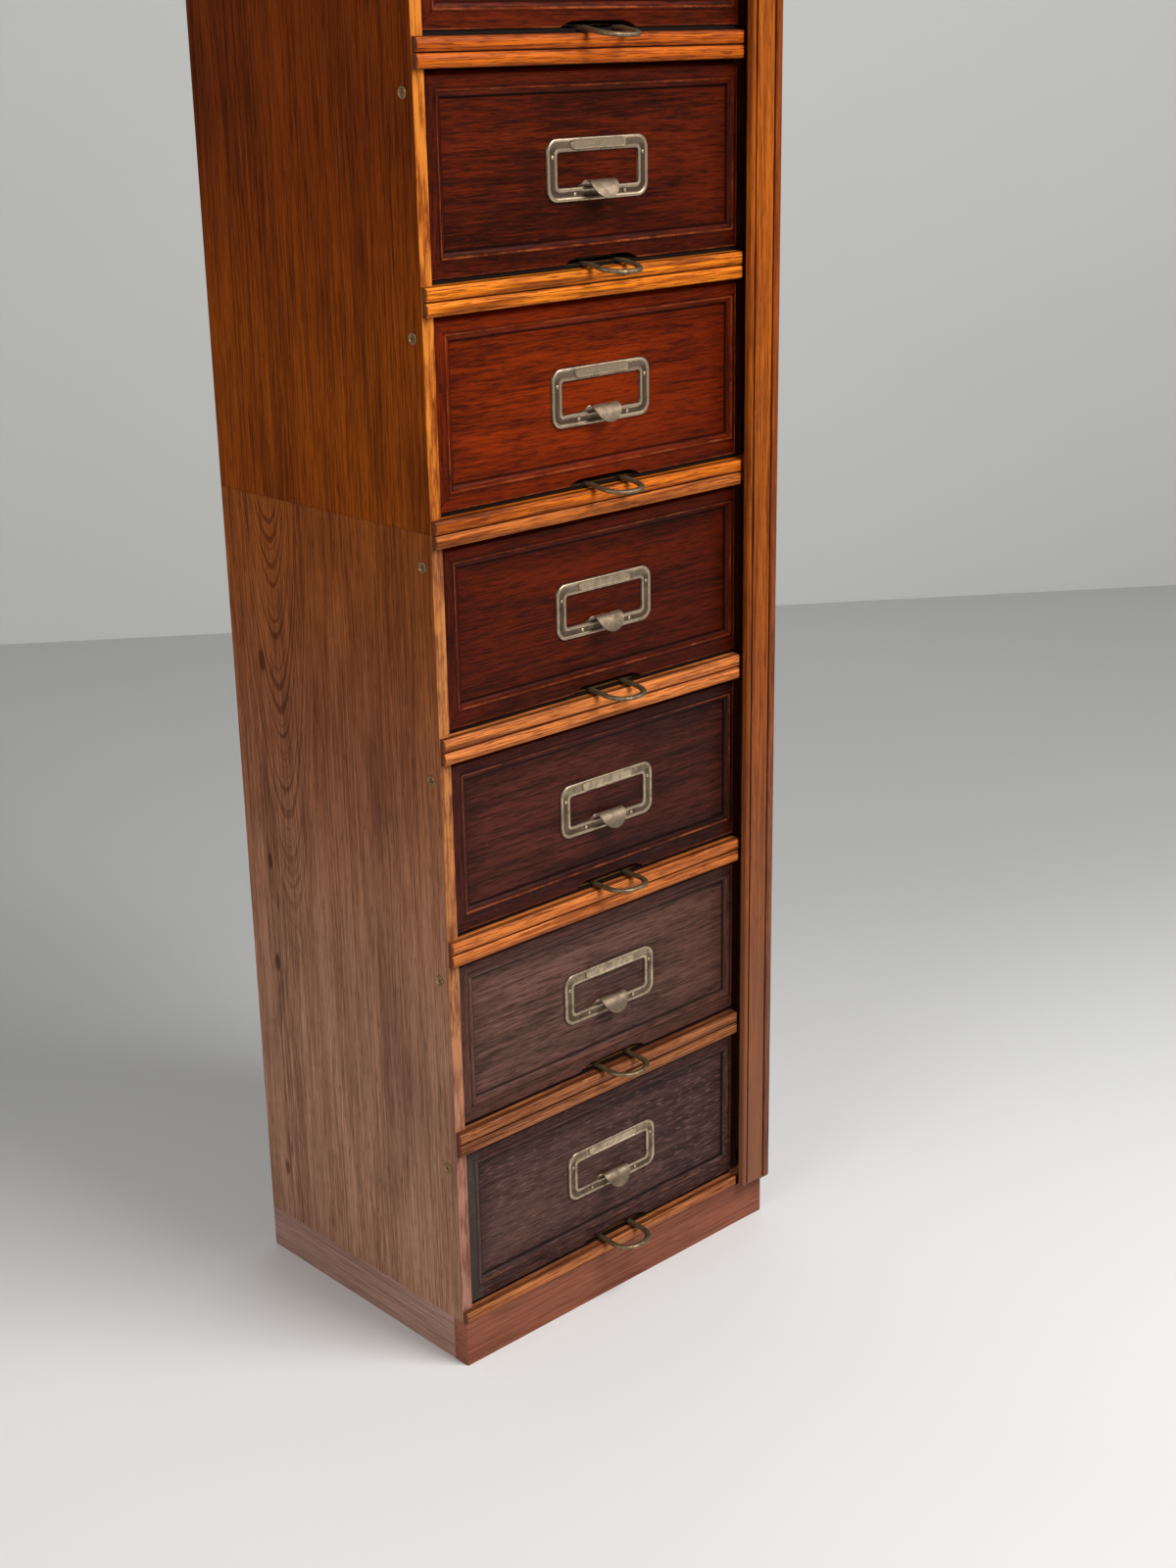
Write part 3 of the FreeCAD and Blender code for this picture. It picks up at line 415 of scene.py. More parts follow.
def front_wood(number):
    """Polished wood of one front: grain along each stick, with shading and wear by place."""
    low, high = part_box("front_frame_%d" % number)
    light, dark = FRONT_COLOURS[number]
    finish = Finish("front_wood_%d" % number)
    x, z = finish.parts()[::2]

    # How far a place lies outside the panel's opening, sideways and upwards.
    sight_left = low.x + LEFT_BAND
    sight_right = high.x - RIGHT_BAND
    sight_low = low.z + FRAME_BAND + MOULDING_WIDTH
    sight_high = high.z - FRAME_BAND - MOULDING_WIDTH
    aside = abs(x - (sight_left + sight_right) / 2) - (sight_right - sight_left) / 2
    above = abs(z - (sight_low + sight_high) / 2) - (sight_high - sight_low) / 2
    outward = aside.math("MAXIMUM", above)

    # Grain, upright on the two side sticks and level elsewhere.
    upright = aside.math("GREATER_THAN", above.math("MAXIMUM", 0.0))
    shift = (number * 1.9, number * 0.7, number * 1.3)
    level = finish.stretched(run_of_grain("x", 0.06), shift)
    standing = finish.stretched(run_of_grain("z", 0.06), shift)
    where = finish.node("ShaderNodeMix", {"data_type": "VECTOR"},
                        {0: upright, 4: level, 5: standing}, output=1)
    bands = finish.noise(where, 60, 3, 0.55, 0.4)
    streaks = finish.noise(where, 380, 3, 0.72, 0.2)
    fibres = finish.noise(finish.node("ShaderNodeVectorMath", {"operation": "MULTIPLY"},
                                      (where, (1.6, 1.0, 1.6))), 620, 1, 0.5)
    clouds = finish.noise(finish.stretched((0.5, 1, 1), shift), 9, 3, 0.55)
    lightness = finish.between(bands * 0.25 + streaks * 0.45 + clouds * 0.3, 0.38, 0.60)
    colour = finish.mix(lightness, dark, light)
    colour = finish.stained(colour, finish.between(fibres, 0.52, 0.66) * 0.8, VEIN_STAIN_AND_SHADE)
    flecks = finish.noise(finish.stretched((0.13, 1, 1.0), shift), 560, 1, 0.5)
    fleck = finish.between(flecks, 0.58, 0.67) * (0.6 if number == 1 else 0.12)
    colour = finish.mix(fleck, colour, shade(light, 1.9))

    # Shading: redder frames below, a grey stile on the lowest, painted shade towards
    # the right, and dirt with painted shade round the panel.
    if number < 4:
        frame_only = finish.between(outward, MOULDING_WIDTH - 0.001, MOULDING_WIDTH + 0.001)
        colour = finish.stained(colour, frame_only * 0.6, REDDER_STAIN)
    if number == 1:
        stile = 1 - finish.between(x, low.x + 0.015, low.x + 0.017)
        colour = finish.mix(stile * 0.65, colour, finish.mix(streaks, *GREY_STILE))
    else:
        # Painted shade: the front darkens towards the right.
        rightward_shade = finish.between(x, -0.04, 0.15) * (0.95 if number in (2, 5) else 0.65)
        colour = finish.stained(colour, rightward_shade, RIGHTWARD_SHADE)
    # Dirt and painted shade: darker over the frame and the panel's edge.
    border_dirt_and_shade = finish.between(outward, -0.024, -0.001) * finish.between(clouds, 0.2, 0.6)
    colour = finish.stained(colour, border_dirt_and_shade * 0.9, CLOUD_STAIN_AND_SHADE)

    # Wear and painted highlight in patches, along the moulding's edge and along
    # the front's outer corners.
    patches = finish.noise(finish.stretched((1, 1, 1), shift), 20, 5, 0.75)
    patch = finish.between(patches, 0.44, 0.64) * 0.82 + 0.18
    # Wear and painted highlight along the moulding's edge, stronger on the bottom stick.
    line = finish.near(outward, MOULDING_WIDTH, 0.0002, 0.0012) * patch
    line = line * (1.4 - finish.between(z, sight_low - 0.004, sight_low + 0.002) * 0.4)
    rim = (x - low.x).math("MINIMUM", high.x - x)
    rim = rim.math("MINIMUM", z - low.z).math("MINIMUM", high.z - z)
    arris = (1 - finish.between(rim, 0.0003, 0.0016)) * patch
    worn = (line * 0.55 + arris * 0.5).math("MINIMUM", 1.0)
    colour = finish.mix(worn, colour, WORN_AND_HIGHLIGHT[number])

    # Painted shade in dark lines on the moulding's slope and in the hollow by the
    # panel, and dark lines in the mitres.
    slope_shade = finish.near(outward, SLOPE_LINE, 0.0004, 0.0012)
    colour = finish.stained(colour, slope_shade * 0.7, VEIN_STAIN_AND_SHADE)
    mitre = finish.near(aside, above, 0.0002, 0.0007) * finish.between(outward, 0.0, 0.0006)
    colour = finish.stained(colour, mitre * 0.75, VEIN_STAIN_AND_SHADE)
    # Painted shade in the hollow by the panel.
    hollow = finish.between(outward, -0.0022, -0.0002)
    hollow = hollow * (1 - finish.between(outward, 0.0004, 0.0012))
    colour = finish.mix(hollow * 0.85, colour, shade(dark, 0.3))
    rough = fibres * 0.14 + clouds * 0.16 + 0.26
    return finish.done(colour, rough, fibres * 0.5 + streaks * 0.5, specular=0.08)


for number in FRONT_COLOURS:
    wood = front_wood(number)
    dress(["front_frame_%d" % number, "front_panel_%d" % number], wood)

# Label holders. Pressed sheet nickel, gone warm and dull. A rounded rim and
# a sunken channel run round three sides of the window, a bare raised plate
# sits on the top band, and a tongue rolls out over the sill. Four pins hold it.

HOLDER_SIZE = (0.115, 0.051)
HOLDER_CORNER = 0.011
WINDOW_SIZE = (0.091, 0.0275)
WINDOW_CORNER = 0.0025
HOLDER_RELIEF = ((0.0, 0.0), (0.02, 0.0012), (0.08, 0.0021), (0.16, 0.0023), (0.26, 0.0019),
                 (0.34, 0.0013), (0.42, 0.0012), (0.60, 0.0012), (0.68, 0.0014), (0.76, 0.0020),
                 (0.86, 0.0021), (0.95, 0.0016), (1.0, 0.0))
TOP_BAND_RELIEF = 0.0016
TOP_BAND_START = 0.0125
TOP_BAND_RISE = 0.006
CHANNEL_DEPTHS = (0.0019, 0.0014)
BARE_PLATE = (0.062, 0.0086)
BARE_PLATE_LIFT = 0.0003
BARE_PLATE_CORNER = 0.0040
BARE_PLATE_STEPS = ((0.0, 0.0008), (0.0001, 0.0024), (0.0005, 0.0031), (0.0010, 0.0031),
                    (0.0015, 0.0025), (0.0036, 0.0025))
PIN_PROFILE = ((0.0006, 0.0018), (-0.0004, 0.0018), (-0.0009, 0.0014), (-0.0012, 0.0007))
PIN_DEPTH = 0.0012
PIN_PLACES = ((-0.0512, 0.0105), (0.0512, 0.0105), (-0.0270, -0.0196), (0.0300, -0.0196))
SIDE_STEPS = 10
CORNER_STEPS = 7


def aged_metal(name, bright, tarnish, rough, scale=90.0, dirt=0.55, sunk=None):
    """Dull metal with cloudy stains; what lies deeper than the first of sunk holds dirt."""
    finish = Finish(name)
    clouds = finish.noise(finish.stretched((1, 1, 1)), scale, 5, 0.65)
    specks = finish.noise(finish.stretched((1, 1, 1)), scale * 9, 2, 0.6)
    stain = finish.between(clouds * 0.75 + specks * 0.25, 0.40, 0.66)
    colour = finish.mix(stain * dirt, bright, tarnish)
    if sunk:
        depth = finish.parts()[1]
        low = finish.between(depth, *sunk)
        colour = finish.mix(low * (clouds * 0.5 + 0.55), colour, tarnish)
        # Darker on what stands well in front of the channel, such as the tongue.
        forward_part = 1 - finish.between(depth, sunk[0] - 0.0050, sunk[0] - 0.0022)
        colour = finish.mix(forward_part * (clouds * 0.7 + 0.10), colour, tarnish)
    return finish.done(colour, stain * 0.22 + specks * 0.12 + rough, specks * 0.6 + clouds * 0.4,
                       metallic=1.0 - stain * 0.35)


def shaped(name, points, faces, material, body=None, stands_for=(), slot=None):
    """A finished piece from points and faces, smooth except over sharp edges."""
    mesh = bpy.data.meshes.new(name)
    mesh.from_pydata([tuple(point) for point in points], [], faces)
    work = bmesh.new()
    work.from_mesh(mesh)
    bmesh.ops.remove_doubles(work, verts=work.verts, dist=1e-6)
    bmesh.ops.recalc_face_normals(work, faces=work.faces)
    work.to_mesh(mesh)
    work.free()
    mesh.polygons.foreach_set("use_smooth", [True] * len(mesh.polygons))
    mesh.set_sharp_from_angle(angle=math.radians(40))
    mesh.materials.append(material)
    piece = bpy.data.objects.new(name, mesh)
    bpy.context.scene.collection.objects.link(piece)
    if body:
        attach(piece, body)
        if stands_for:
            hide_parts(*stands_for)
    return piece


def rounded_ring(width, height, corner):
    """Points round a rounded rectangle, the same number for every size."""
    ring = []
    for right, up, start in ((1, 1, 0), (-1, 1, 1), (-1, -1, 2), (1, -1, 3)):
        middle = Vector((right * (width / 2 - corner), up * (height / 2 - corner)))
        for step in range(CORNER_STEPS + 1):
            turn = math.radians(90) * (start + step / CORNER_STEPS)
            ring.append(middle + Vector((math.cos(turn), math.sin(turn))) * corner)
        first = ring[-1]
        end = Vector((first.x, -middle.y)) if start % 2 else Vector((-middle.x, first.y))
        for step in range(1, SIDE_STEPS):
            ring.append(first.lerp(end, step / SIDE_STEPS))
    return ring


def band_faces(rows, around):
    """Faces of the open band through rows of points, with the same number around each."""
    faces = []
    for row in range(rows - 1):
        here, there = row * around, (row + 1) * around
        for index in range(around):
            after = (index + 1) % around
            faces.append((here + index, here + after, there + after, there + index))
    return faces


def capped_faces(rows, around):
    """The same band with both ends closed."""
    last = (rows - 1) * around
    return band_faces(rows, around) + [tuple(range(around)), tuple(range(last, last + around))]


def joined(*shapes):
    """Points and faces of several shapes, put together as one."""
    points, faces = [], []
    for more, more_faces in shapes:
        faces += [tuple(index + len(points) for index in face) for face in more_faces]
        points += more
    return points, faces


def holder_height(across, up):
    """Relief of the pressed plate; across runs from its outer edge to the window."""
    for (low, height), (high, next_height) in zip(HOLDER_RELIEF, HOLDER_RELIEF[1:]):
        if across <= high:
            pressed = height + (next_height - height) * (across - low) / (high - low)
            break
    share = min(max((up - TOP_BAND_START) / TOP_BAND_RISE, 0), 1) if 0.2 < across < 0.95 else 0
    return pressed + (TOP_BAND_RELIEF - pressed) * share


def holder_plate(middle, face):
    """Frame round the window, its channel hammered flat along the top band."""
    outer = rounded_ring(*HOLDER_SIZE, HOLDER_CORNER)
    inner = rounded_ring(*WINDOW_SIZE, WINDOW_CORNER)
    points = []
    for across, _ in HOLDER_RELIEF:
        for first, last in zip(outer, inner):
            spot = first.lerp(last, across)
            points.append(Vector((middle.x + spot.x, face - holder_height(across, spot.y),
                                  middle.z + spot.y)))
    around = len(outer)
    last_ring = len(points) - around
    back = [(last_ring + index, last_ring + (index + 1) % around, (index + 1) % around, index)
            for index in range(around)]
    return points, band_faces(len(HOLDER_RELIEF), around) + back


def bare_plate(middle, face):
    """Raised plate with a rim and a bare hollow, on the top band of the holder."""
    centre = middle.z + (HOLDER_SIZE[1] + WINDOW_SIZE[1]) / 4 + BARE_PLATE_LIFT
    points = []
    for inset, rise in BARE_PLATE_STEPS:
        ring = rounded_ring(*[size - 2 * inset for size in BARE_PLATE], BARE_PLATE_CORNER - inset)
        points += [Vector((middle.x + spot.x, face - rise, centre + spot.y)) for spot in ring]
    return points, capped_faces(len(BARE_PLATE_STEPS), len(ring))


TONGUE_LINE = ((-0.0002, -0.0010), (0.0003, 0.0016), (0.0012, 0.0036), (0.0028, 0.0049),
               (0.0048, 0.0051), (0.0070, 0.0042), (0.0090, 0.0024), (0.0107, 0.0002),
               (0.0121, -0.0024), (0.0132, -0.0051), (0.0140, -0.0076), (0.0145, -0.0098))
TONGUE_ROWS = (0.0, 0.0027, 0.0046, 0.0063, 0.0083, 0.0107, 0.0133, 0.0157, 0.0178, 0.0197, 0.0214,
               0.0228, 0.0239, 0.0247, 0.0252, 0.0255)
TONGUE_COLUMNS = 17
TONGUE_TIP = 0.0155
TONGUE_FLARE = 0.0105
FLARE_LENGTH = 0.0085
TONGUE_SHEET = 0.0011


def tongue(middle, face):
    """Sheet that climbs over the sill, rolls forward and ends in a round tip."""
    sill = middle.z - WINDOW_SIZE[1] / 2
    columns = TONGUE_COLUMNS
    top = []
    under = []
    bends = [0.0]
    for (forward, up), (next_forward, next_up) in zip(TONGUE_LINE, TONGUE_LINE[1:]):
        bends.append(bends[-1] + math.hypot(next_forward - forward, next_up - up))
    for row in TONGUE_ROWS:
        along = row / TONGUE_ROWS[-1] * bends[-1]
        index = next(index for index in range(1, len(bends)) if along <= bends[index] + 1e-9)
        share = (along - bends[index - 1]) / (bends[index] - bends[index - 1])
        before, after = Vector(TONGUE_LINE[index - 1]), Vector(TONGUE_LINE[index])
        forward, up = before.lerp(after, share)
        run = (after - before).normalized()
        outward = Vector((-run.y, run.x)) * TONGUE_SHEET
        left = max(bends[-1] - along, 0.00004)
        half = math.sqrt(TONGUE_TIP ** 2 - max(TONGUE_TIP - left, 0) ** 2)
        half += TONGUE_FLARE * max(1 - along / FLARE_LENGTH, 0) ** 1.6
        for column in range(columns):
            side = 2 * column / (columns - 1) - 1
            x = middle.x + half * math.sin(side * math.pi / 2)
            top.append(Vector((x, face - forward, sill + up)))
            under.append(Vector((x, face - forward + outward.x, sill + up - outward.y)))
    rows = len(TONGUE_ROWS)
    count = rows * columns
    faces = []
    for row in range(rows - 1):
        for column in range(columns - 1):
            near = row * columns + column
            far = near + columns
            faces.append((near, near + 1, far + 1, far))
            faces.append((count + far, count + far + 1, count + near + 1, count + near))
    edge = (list(range(columns)) + [row * columns + columns - 1 for row in range(1, rows)]
            + [(rows - 1) * columns + column for column in range(columns - 2, -1, -1)]
            + [row * columns for row in range(rows - 2, 0, -1)])
    for one, other in zip(edge, edge[1:] + edge[:1]):
        faces.append((other, one, count + one, count + other))
    return top + under, faces


def repeated(name, piece, places, material, body, stands_for=(), size=1.0):
    """Copies of one small piece at many places, made by a node tree into one mesh."""
    mesh = bpy.data.meshes.new(name + "_places")
    mesh.from_pydata([tuple(place) for place in places], [], [])
    holder = bpy.data.objects.new(name + "_places", mesh)
    bpy.context.scene.collection.objects.link(holder)
    tree = bpy.data.node_groups.new(name, "GeometryNodeTree")
    tree.interface.new_socket("Places", in_out="INPUT", socket_type="NodeSocketGeometry")
    size_input = tree.interface.new_socket("Size", in_out="INPUT", socket_type="NodeSocketFloat")
    tree.interface.new_socket("Pieces", in_out="OUTPUT", socket_type="NodeSocketGeometry")
    start = tree.nodes.new("NodeGroupInput")
    shape = tree.nodes.new("GeometryNodeObjectInfo")
    shape.inputs["Object"].default_value = piece
    spread = tree.nodes.new("GeometryNodeInstanceOnPoints")
    real = tree.nodes.new("GeometryNodeRealizeInstances")
    coat = tree.nodes.new("GeometryNodeSetMaterial")
    coat.inputs["Material"].default_value = material
    end = tree.nodes.new("NodeGroupOutput")
    tree.links.new(start.outputs["Places"], spread.inputs["Points"])
    tree.links.new(start.outputs["Size"], spread.inputs["Scale"])
    tree.links.new(shape.outputs["Geometry"], spread.inputs["Instance"])
    tree.links.new(spread.outputs["Instances"], real.inputs["Geometry"])
    tree.links.new(real.outputs["Geometry"], coat.inputs["Geometry"])
    tree.links.new(coat.outputs["Geometry"], end.inputs["Pieces"])
    modifier = holder.modifiers.new(name, "NODES")
    modifier.node_group = tree
    modifier[size_input.identifier] = size
    made = bpy.data.meshes.new_from_object(
        holder.evaluated_get(bpy.context.evaluated_depsgraph_get()))
    made.name = name
    bpy.data.objects.remove(holder)
    pieces = bpy.data.objects.new(name, made)
    bpy.context.scene.collection.objects.link(pieces)
    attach(pieces, body)
    if stands_for:
        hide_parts(*stands_for)
    return pieces


def turned(name, profile, axis, sides, material):
    """Closed round piece turned about an axis through the origin.

    Profile points are (distance along the axis, radius), from end to end.
    """
    points = []
    for along, radius in profile:
        for step in range(sides):
            turn = math.tau * step / sides
            spot = [radius * math.cos(turn), radius * math.sin(turn)]
            spot.insert("xyz".index(axis), along)
            points.append(spot)
    return shaped(name, points, capped_faces(len(profile), sides), material)


holder_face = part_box("front_panel_1")[0].y
nickel = aged_metal("aged_nickel", tone(200, 178, 150), tone(72, 52, 40), 0.30, dirt=0.6,
                    sunk=[holder_face - depth for depth in CHANNEL_DEPTHS])
pin = turned("pin_shape", PIN_PROFILE, "y", 12, nickel)
for number in FRONT_COLOURS:
    low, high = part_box("label_holder_%d" % number)
    middle = (low + high) / 2
    panel_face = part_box("front_panel_%d" % number)[0].y
    sheet = joined(*[part(middle, panel_face) for part in (holder_plate, bare_plate, tongue)])
    shaped("label_holder_sheet_%d" % number, *sheet, nickel, "front_%d" % number,
           ["label_holder_%d" % number], "holder_nickel")
    repeated("holder_pins_%d" % number, pin,
             [(middle.x + x, panel_face - PIN_DEPTH, middle.z + z) for x, z in PIN_PLACES],
             nickel, "front_%d" % number)
bpy.data.objects.remove(pin)

# Trays and their wire loops. The trays are thin boards of plain wood, their
# front edges nearly black as painted shade. The loops are flattened bronzed wire,
# a U with two legs let into the tray and held by a plate with two screws.

LOOP_HALF_SPAN = 0.020
LOOP_CORNER = 0.017
LOOP_LEVEL = 0.0032
LOOP_BEND = -0.1345
LOOP_TIP = 0.030
LEG_END = -0.0940
LEG_STEPS = (LOOP_BEND - LEG_END, -0.004, 0.0, 0.003)
BEND_STEPS = 12
WIRE_HALF = (0.0030, 0.0021)
WIRE_SIDES = 14
LOOP_DROOPS = (2.0, 2.0, 0.0, 6.0, 8.0, 10.0, 10.0, 8.0)
TRAY_ABOVE_SHELF = 0.0003
TRAY_EDGE_SHADE = tone(20, 10, 6)
CLAMP_SIZE = (0.058, 0.012)
CLAMP_CORNER = 0.002
CLAMP_PLACE = -0.1060
CLAMP_LEVEL = 0.0053
CLAMP_STEPS = ((0.0, 0.0), (0.0, 0.0008), (0.0004, 0.0012))
CLAMP_SCREWS = 0.0258
SCREW_LEVEL = 0.0063
SCREW_PROFILE = ((-0.0020, 0.0016), (0.0, 0.0016), (0.0, 0.0024), (0.0006, 0.0022),
                 (0.0009, 0.0012))
tray_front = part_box("file_tray_1")[0].y


def tray_tint(finish, colour):
    """The front edge is nearly black: painted shade, as in the gap under the fronts."""
    edge = 1 - finish.between(finish.parts()[1], tray_front + 0.002, tray_front + 0.003)
    return finish.mix(edge, colour, TRAY_EDGE_SHADE)


def wire_loop(middle, shelf, droop):
    """The flattened wire: two legs on the tray and a loop that droops in front of it."""
    centre = LOOP_HALF_SPAN - LOOP_CORNER
    plan = [(-LOOP_HALF_SPAN, ahead) for ahead in LEG_STEPS]
    for side in (-1, 1):
        for step in range(BEND_STEPS + 1):
            turn = math.radians(90) * (step if side < 0 else BEND_STEPS - step) / BEND_STEPS
            plan.append((side * (centre + LOOP_CORNER * math.cos(turn)),
                         LOOP_TIP - LOOP_CORNER * (1 - math.sin(turn))))
    plan += [(LOOP_HALF_SPAN, ahead) for ahead in reversed(LEG_STEPS)]
    path = []
    for x, ahead in plan:
        bent = max(ahead, 0)
        forward = bent * math.cos(droop) if ahead > 0 else ahead
        path.append(Vector((middle + x, LOOP_BEND - forward,
                            shelf + LOOP_LEVEL - bent * math.sin(droop))))
    points = []
    for index, spot in enumerate(path):
        run = (path[min(index + 1, len(path) - 1)] - path[max(index - 1, 0)]).normalized()
        lean = droop if spot.y < LOOP_BEND - 1e-6 else 0
        upward = Vector((0, -math.sin(lean), math.cos(lean)))
        sideways = run.cross(upward).normalized()
        for step in range(WIRE_SIDES):
            turn = math.tau * step / WIRE_SIDES
            points.append(spot + sideways * WIRE_HALF[0] * math.cos(turn)
                          + upward * WIRE_HALF[1] * math.sin(turn))
    return points, capped_faces(len(path), WIRE_SIDES)


def clamp_plate(middle, shelf):
    """Flat plate over the legs, with eased edges."""
    points = []
    for inset, level in CLAMP_STEPS:
        ring = rounded_ring(*[size - 2 * inset for size in CLAMP_SIZE], CLAMP_CORNER - inset)
        points += [Vector((middle + spot.x, CLAMP_PLACE + spot.y, shelf + CLAMP_LEVEL + level))
                   for spot in ring]
    return points, capped_faces(len(CLAMP_STEPS), len(ring))


dress(["file_tray_%d" % number for number in FRONT_COLOURS],
      oak("tray_wood", "x", tone(170, 118, 66), tone(130, 84, 42), seed=52, streak=0.3, gloss=0.5,
          tint=tray_tint))
bronze = aged_metal("bronzed_wire", tone(150, 128, 98), tone(64, 48, 34), 0.36, 160.0, 0.75)
screw_metal = aged_metal("dull_screws", tone(168, 138, 98), tone(66, 50, 36), 0.4, 300.0, 0.65)
clamp_screw = turned("clamp_screw_shape", SCREW_PROFILE, "z", 16, screw_metal)
for number, droop in zip(FRONT_COLOURS, LOOP_DROOPS):
    low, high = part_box("pull_loop_%d" % number)
    middle = (low.x + high.x) / 2
    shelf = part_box("file_tray_%d" % number)[0].z - TRAY_ABOVE_SHELF
    loop = joined(wire_loop(middle, shelf, math.radians(droop)), clamp_plate(middle, shelf))
    shaped("wire_loop_%d" % number, *loop, bronze, "tray_%d" % number,
           ["pull_loop_%d" % number], "loop_bronze")
    repeated("clamp_screws_%d" % number, clamp_screw,
             [(middle + side * CLAMP_SCREWS, CLAMP_PLACE, shelf + SCREW_LEVEL) for side in (-1, 1)],
             screw_metal, "tray_%d" % number)
bpy.data.objects.remove(clamp_screw)

# Pivot screws and the bar's pins and lock. Cup-headed screws, gone dull and
# brown, at the upper front corner of every compartment, and headless pins at
# the right. The lock has a small brass keyhole plate.

PIVOT_BELOW_TOP = 0.0153
RIGHT_PIN_START = 0.1510
CUP_PROFILE = ((0.0207, 0.0019), (0.0, 0.0019), (0.0, 0.0050), (-0.0007, 0.0049),
               (-0.0012, 0.0043), (-0.0011, 0.0037), (-0.0003, 0.0030), (-0.0003, 0.0026),
               (-0.0009, 0.0023), (-0.0008, 0.0016), (0.0006, 0.0011))
RIGHT_PIN_PROFILE = ((0.0, 0.0015), (0.0003, 0.0019), (0.0230, 0.0019), (0.0235, 0.0015))
pivot_heights = [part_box("front_frame_%d" % number)[1].z - PIVOT_BELOW_TOP
                 for number in FRONT_COLOURS]
pivot_depth = sum(corner.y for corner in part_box("front_pivots")) / 2
cup_screw = turned("cup_screw_shape", CUP_PROFILE, "x", 28, screw_metal)
repeated("side_screws", cup_screw,
         [(case_low.x, pivot_depth, height) for height in pivot_heights],
         screw_metal, "case", ["front_pivots"])
bpy.data.objects.remove(cup_screw)
plain_pin = turned("plain_pin_shape", RIGHT_PIN_PROFILE, "x", 16, screw_metal)
repeated("right_pins", plain_pin,
         [(RIGHT_PIN_START, pivot_depth, height) for height in pivot_heights],
         screw_metal, "case")
bpy.data.objects.remove(plain_pin)
dress(["bar_pivots"], screw_metal)
dress(["bar_lock"],
      aged_metal("lock_brass", tone(176, 140, 72), tone(86, 62, 30), 0.32, 120.0, 0.6))

# Floor, wall, lamps and camera. A pale floor, with painted shade that darkens
# it behind the chest, and a plain pale wall in a pale room, a large soft lamp at
# the right of the camera and a weaker one at the left. The wall hides nothing
# from behind: its back lets the view through.

WALL_LEFT = Vector((0.744, 2.451, 0))
WALL_RIGHT = Vector((2.777, 1.001, 0))
WALL_FARTHER = 5
WALL_HEIGHT = Vector((0, 0, 4))
FLOOR_BEFORE = 9
FLOOR_BEHIND = 6
FLOOR_AND_PAINTED_SHADE = (0.90, 0.90, 0.89, 1), (0.59, 0.595, 0.59, 1)
WALL_COLOURS = (0.75, 0.75, 0.73, 1), (0.77, 0.77, 0.75, 1)
ROOM_COLOUR = (1.0, 0.99, 0.97, 1)
ROOM_STRENGTH = 0.24


def plain_surface(name, corners, colour, farther):
    """A sheet of the stage, whose second colour comes in behind the chest; on the floor it is
    painted shade.
    """
    mesh = bpy.data.meshes.new(name)
    mesh.from_pydata(corners, [], [tuple(range(len(corners)))])
    sheet = bpy.data.objects.new(name, mesh)
    bpy.context.scene.collection.objects.link(sheet)
    finish = Finish(name)
    mottle = finish.noise(finish.stretched((1, 1, 1)), 1.5, 2, 0.5)
    shine = finish.between(mottle, 0.3, 0.7)
    x, y = finish.parts()[:2]
    # Painted shade: the floor darkens towards the back, behind the chest.
    away = finish.between(x * 0.5 + y * 0.85, -0.2, 0.95)
    colour = finish.mix(away, colour, farther)
    colour = finish.mix(shine * 0.05, colour, (0.5, 0.5, 0.5, 1))
    mesh.materials.append(finish.done(colour, shine * 0.1 + 0.45))
    return finish


def open_from_behind(finish):
    """Keeps the front of a sheet as it is, and lets a view from its back pass through."""
    end = next(node for node in finish.tree.nodes if node.type == "OUTPUT_MATERIAL")
    front = Reading(finish, end.inputs["Surface"].links[0].from_socket)
    behind = finish.node("ShaderNodeNewGeometry", output="Backfacing")
    back = finish.node("ShaderNodeBsdfTransparent")
    both = finish.node("ShaderNodeMixShader", inputs=(behind, front, back))
    finish.tree.links.new(both.socket, end.inputs["Surface"])


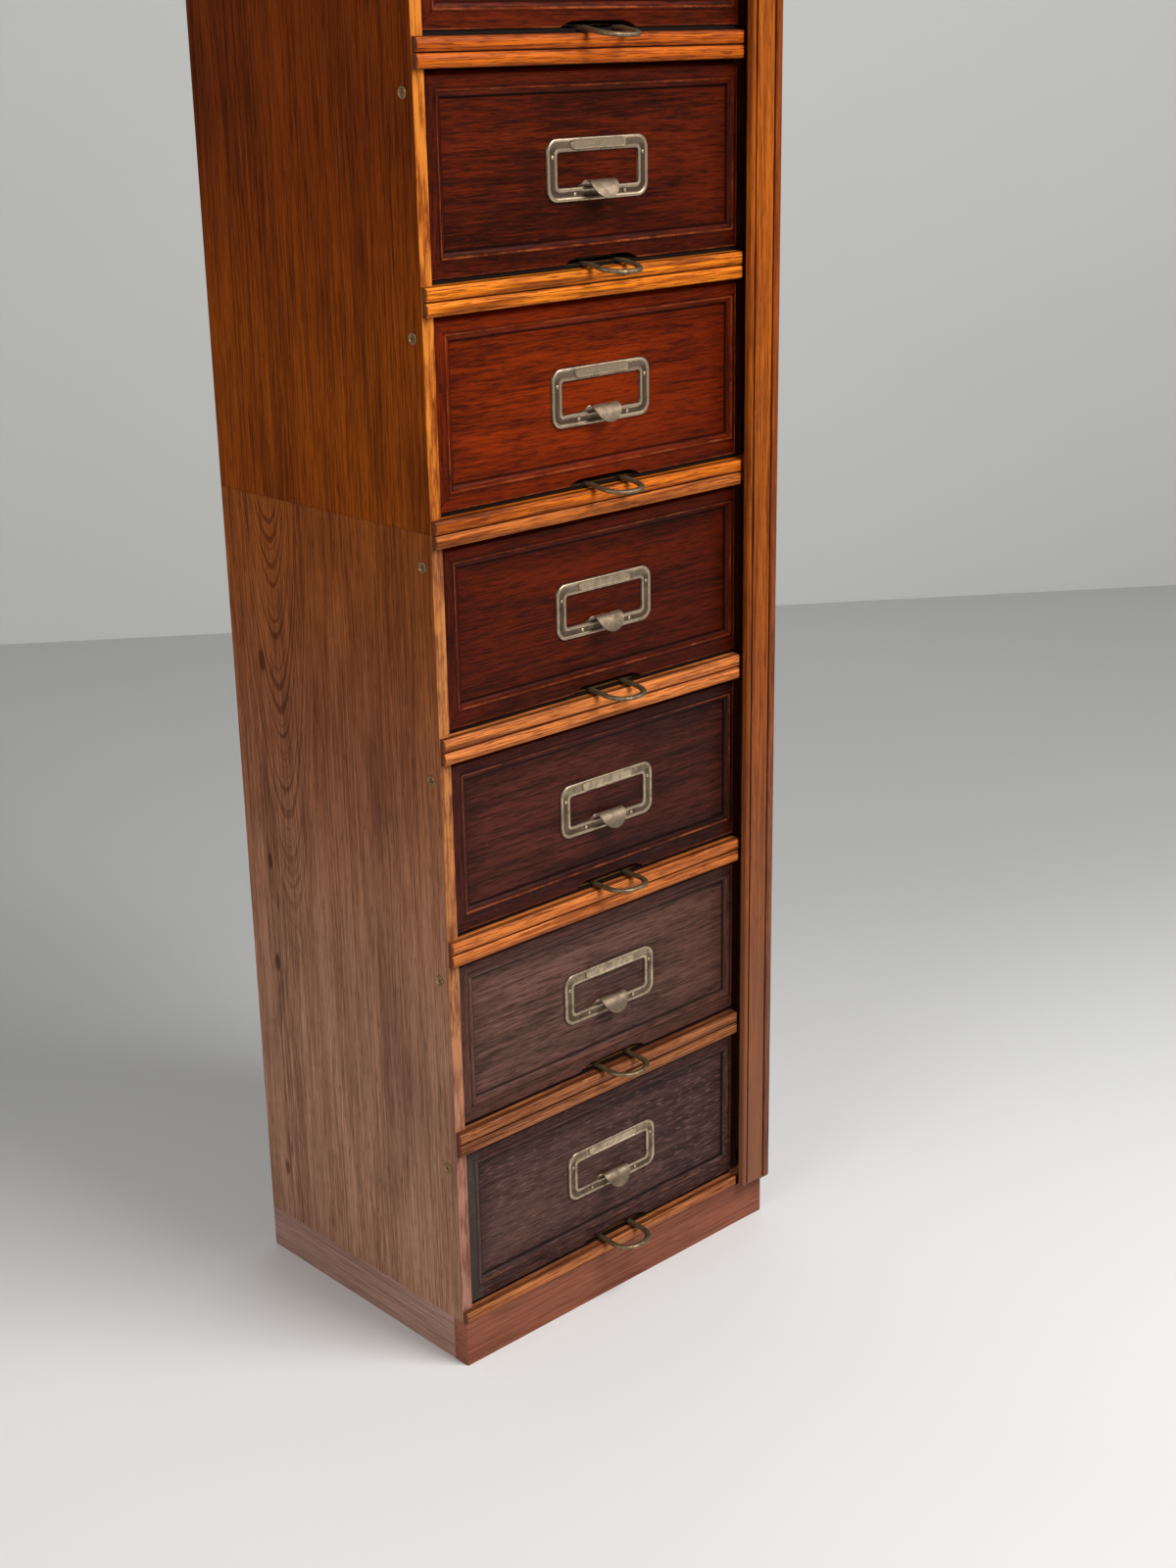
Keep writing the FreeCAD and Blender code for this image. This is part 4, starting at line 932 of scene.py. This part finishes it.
along_wall = (WALL_RIGHT - WALL_LEFT).normalized()
toward_room = Vector((along_wall.y, -along_wall.x, 0))
wall_start = WALL_LEFT - along_wall * WALL_FARTHER
wall_end = WALL_RIGHT + along_wall * WALL_FARTHER
plain_surface("floor", [wall_start - toward_room * FLOOR_BEHIND,
                        wall_start + toward_room * FLOOR_BEFORE,
                        wall_end + toward_room * FLOOR_BEFORE,
                        wall_end - toward_room * FLOOR_BEHIND], *FLOOR_AND_PAINTED_SHADE)
wall = plain_surface("wall", [wall_start, wall_end, wall_end + WALL_HEIGHT,
                              wall_start + WALL_HEIGHT], *WALL_COLOURS)
open_from_behind(wall)

world = bpy.data.worlds.new("room")
world.use_nodes = True
background = world.node_tree.nodes["Background"].inputs
background["Color"].default_value = ROOM_COLOUR
background["Strength"].default_value = ROOM_STRENGTH
bpy.context.scene.world = world


def soft_lamp(name, place, aim, size, power):
    """A square lamp that faces its aim."""
    light = bpy.data.lights.new(name, "AREA")
    light.shape = "SQUARE"
    light.size = size
    light.energy = power
    lamp = bpy.data.objects.new(name, light)
    bpy.context.scene.collection.objects.link(lamp)
    lamp.location = place
    lamp.rotation_euler = (Vector(aim) - Vector(place)).to_track_quat("-Z", "Y").to_euler()


soft_lamp("window", (0.7, -1.9, 2.7), (0.1, 0, 0.4), 1.5, 75)
soft_lamp("left_fill", (-3.0, -0.6, 1.9), (0, 0, 0.7), 2.0, 30)

CAMERA_PLACE = Vector((-1.2798, -1.4729, 1.1728))
CAMERA_YAW = math.radians(42.94)
CAMERA_PITCH = math.radians(19.37)
CAMERA_ROLL = math.radians(-0.98)
CAMERA_LENS = 49.67

forward = Vector((math.sin(CAMERA_YAW) * math.cos(CAMERA_PITCH),
                  math.cos(CAMERA_YAW) * math.cos(CAMERA_PITCH), -math.sin(CAMERA_PITCH)))
level_right = Vector((math.cos(CAMERA_YAW), -math.sin(CAMERA_YAW), 0))
level_up = level_right.cross(forward)
right = level_right * math.cos(CAMERA_ROLL) + level_up * math.sin(CAMERA_ROLL)
up = right.cross(forward)
view = bpy.data.cameras.new("camera")
view.sensor_fit = "VERTICAL"
view.sensor_height = 36
view.lens = CAMERA_LENS
camera = bpy.data.objects.new("camera", view)
bpy.context.scene.collection.objects.link(camera)
turned_camera = Matrix((right, up, -forward)).transposed()
camera.matrix_world = Matrix.Translation(CAMERA_PLACE) @ turned_camera.to_4x4()
bpy.context.scene.camera = camera
bpy.context.scene.view_settings.view_transform = "Standard"
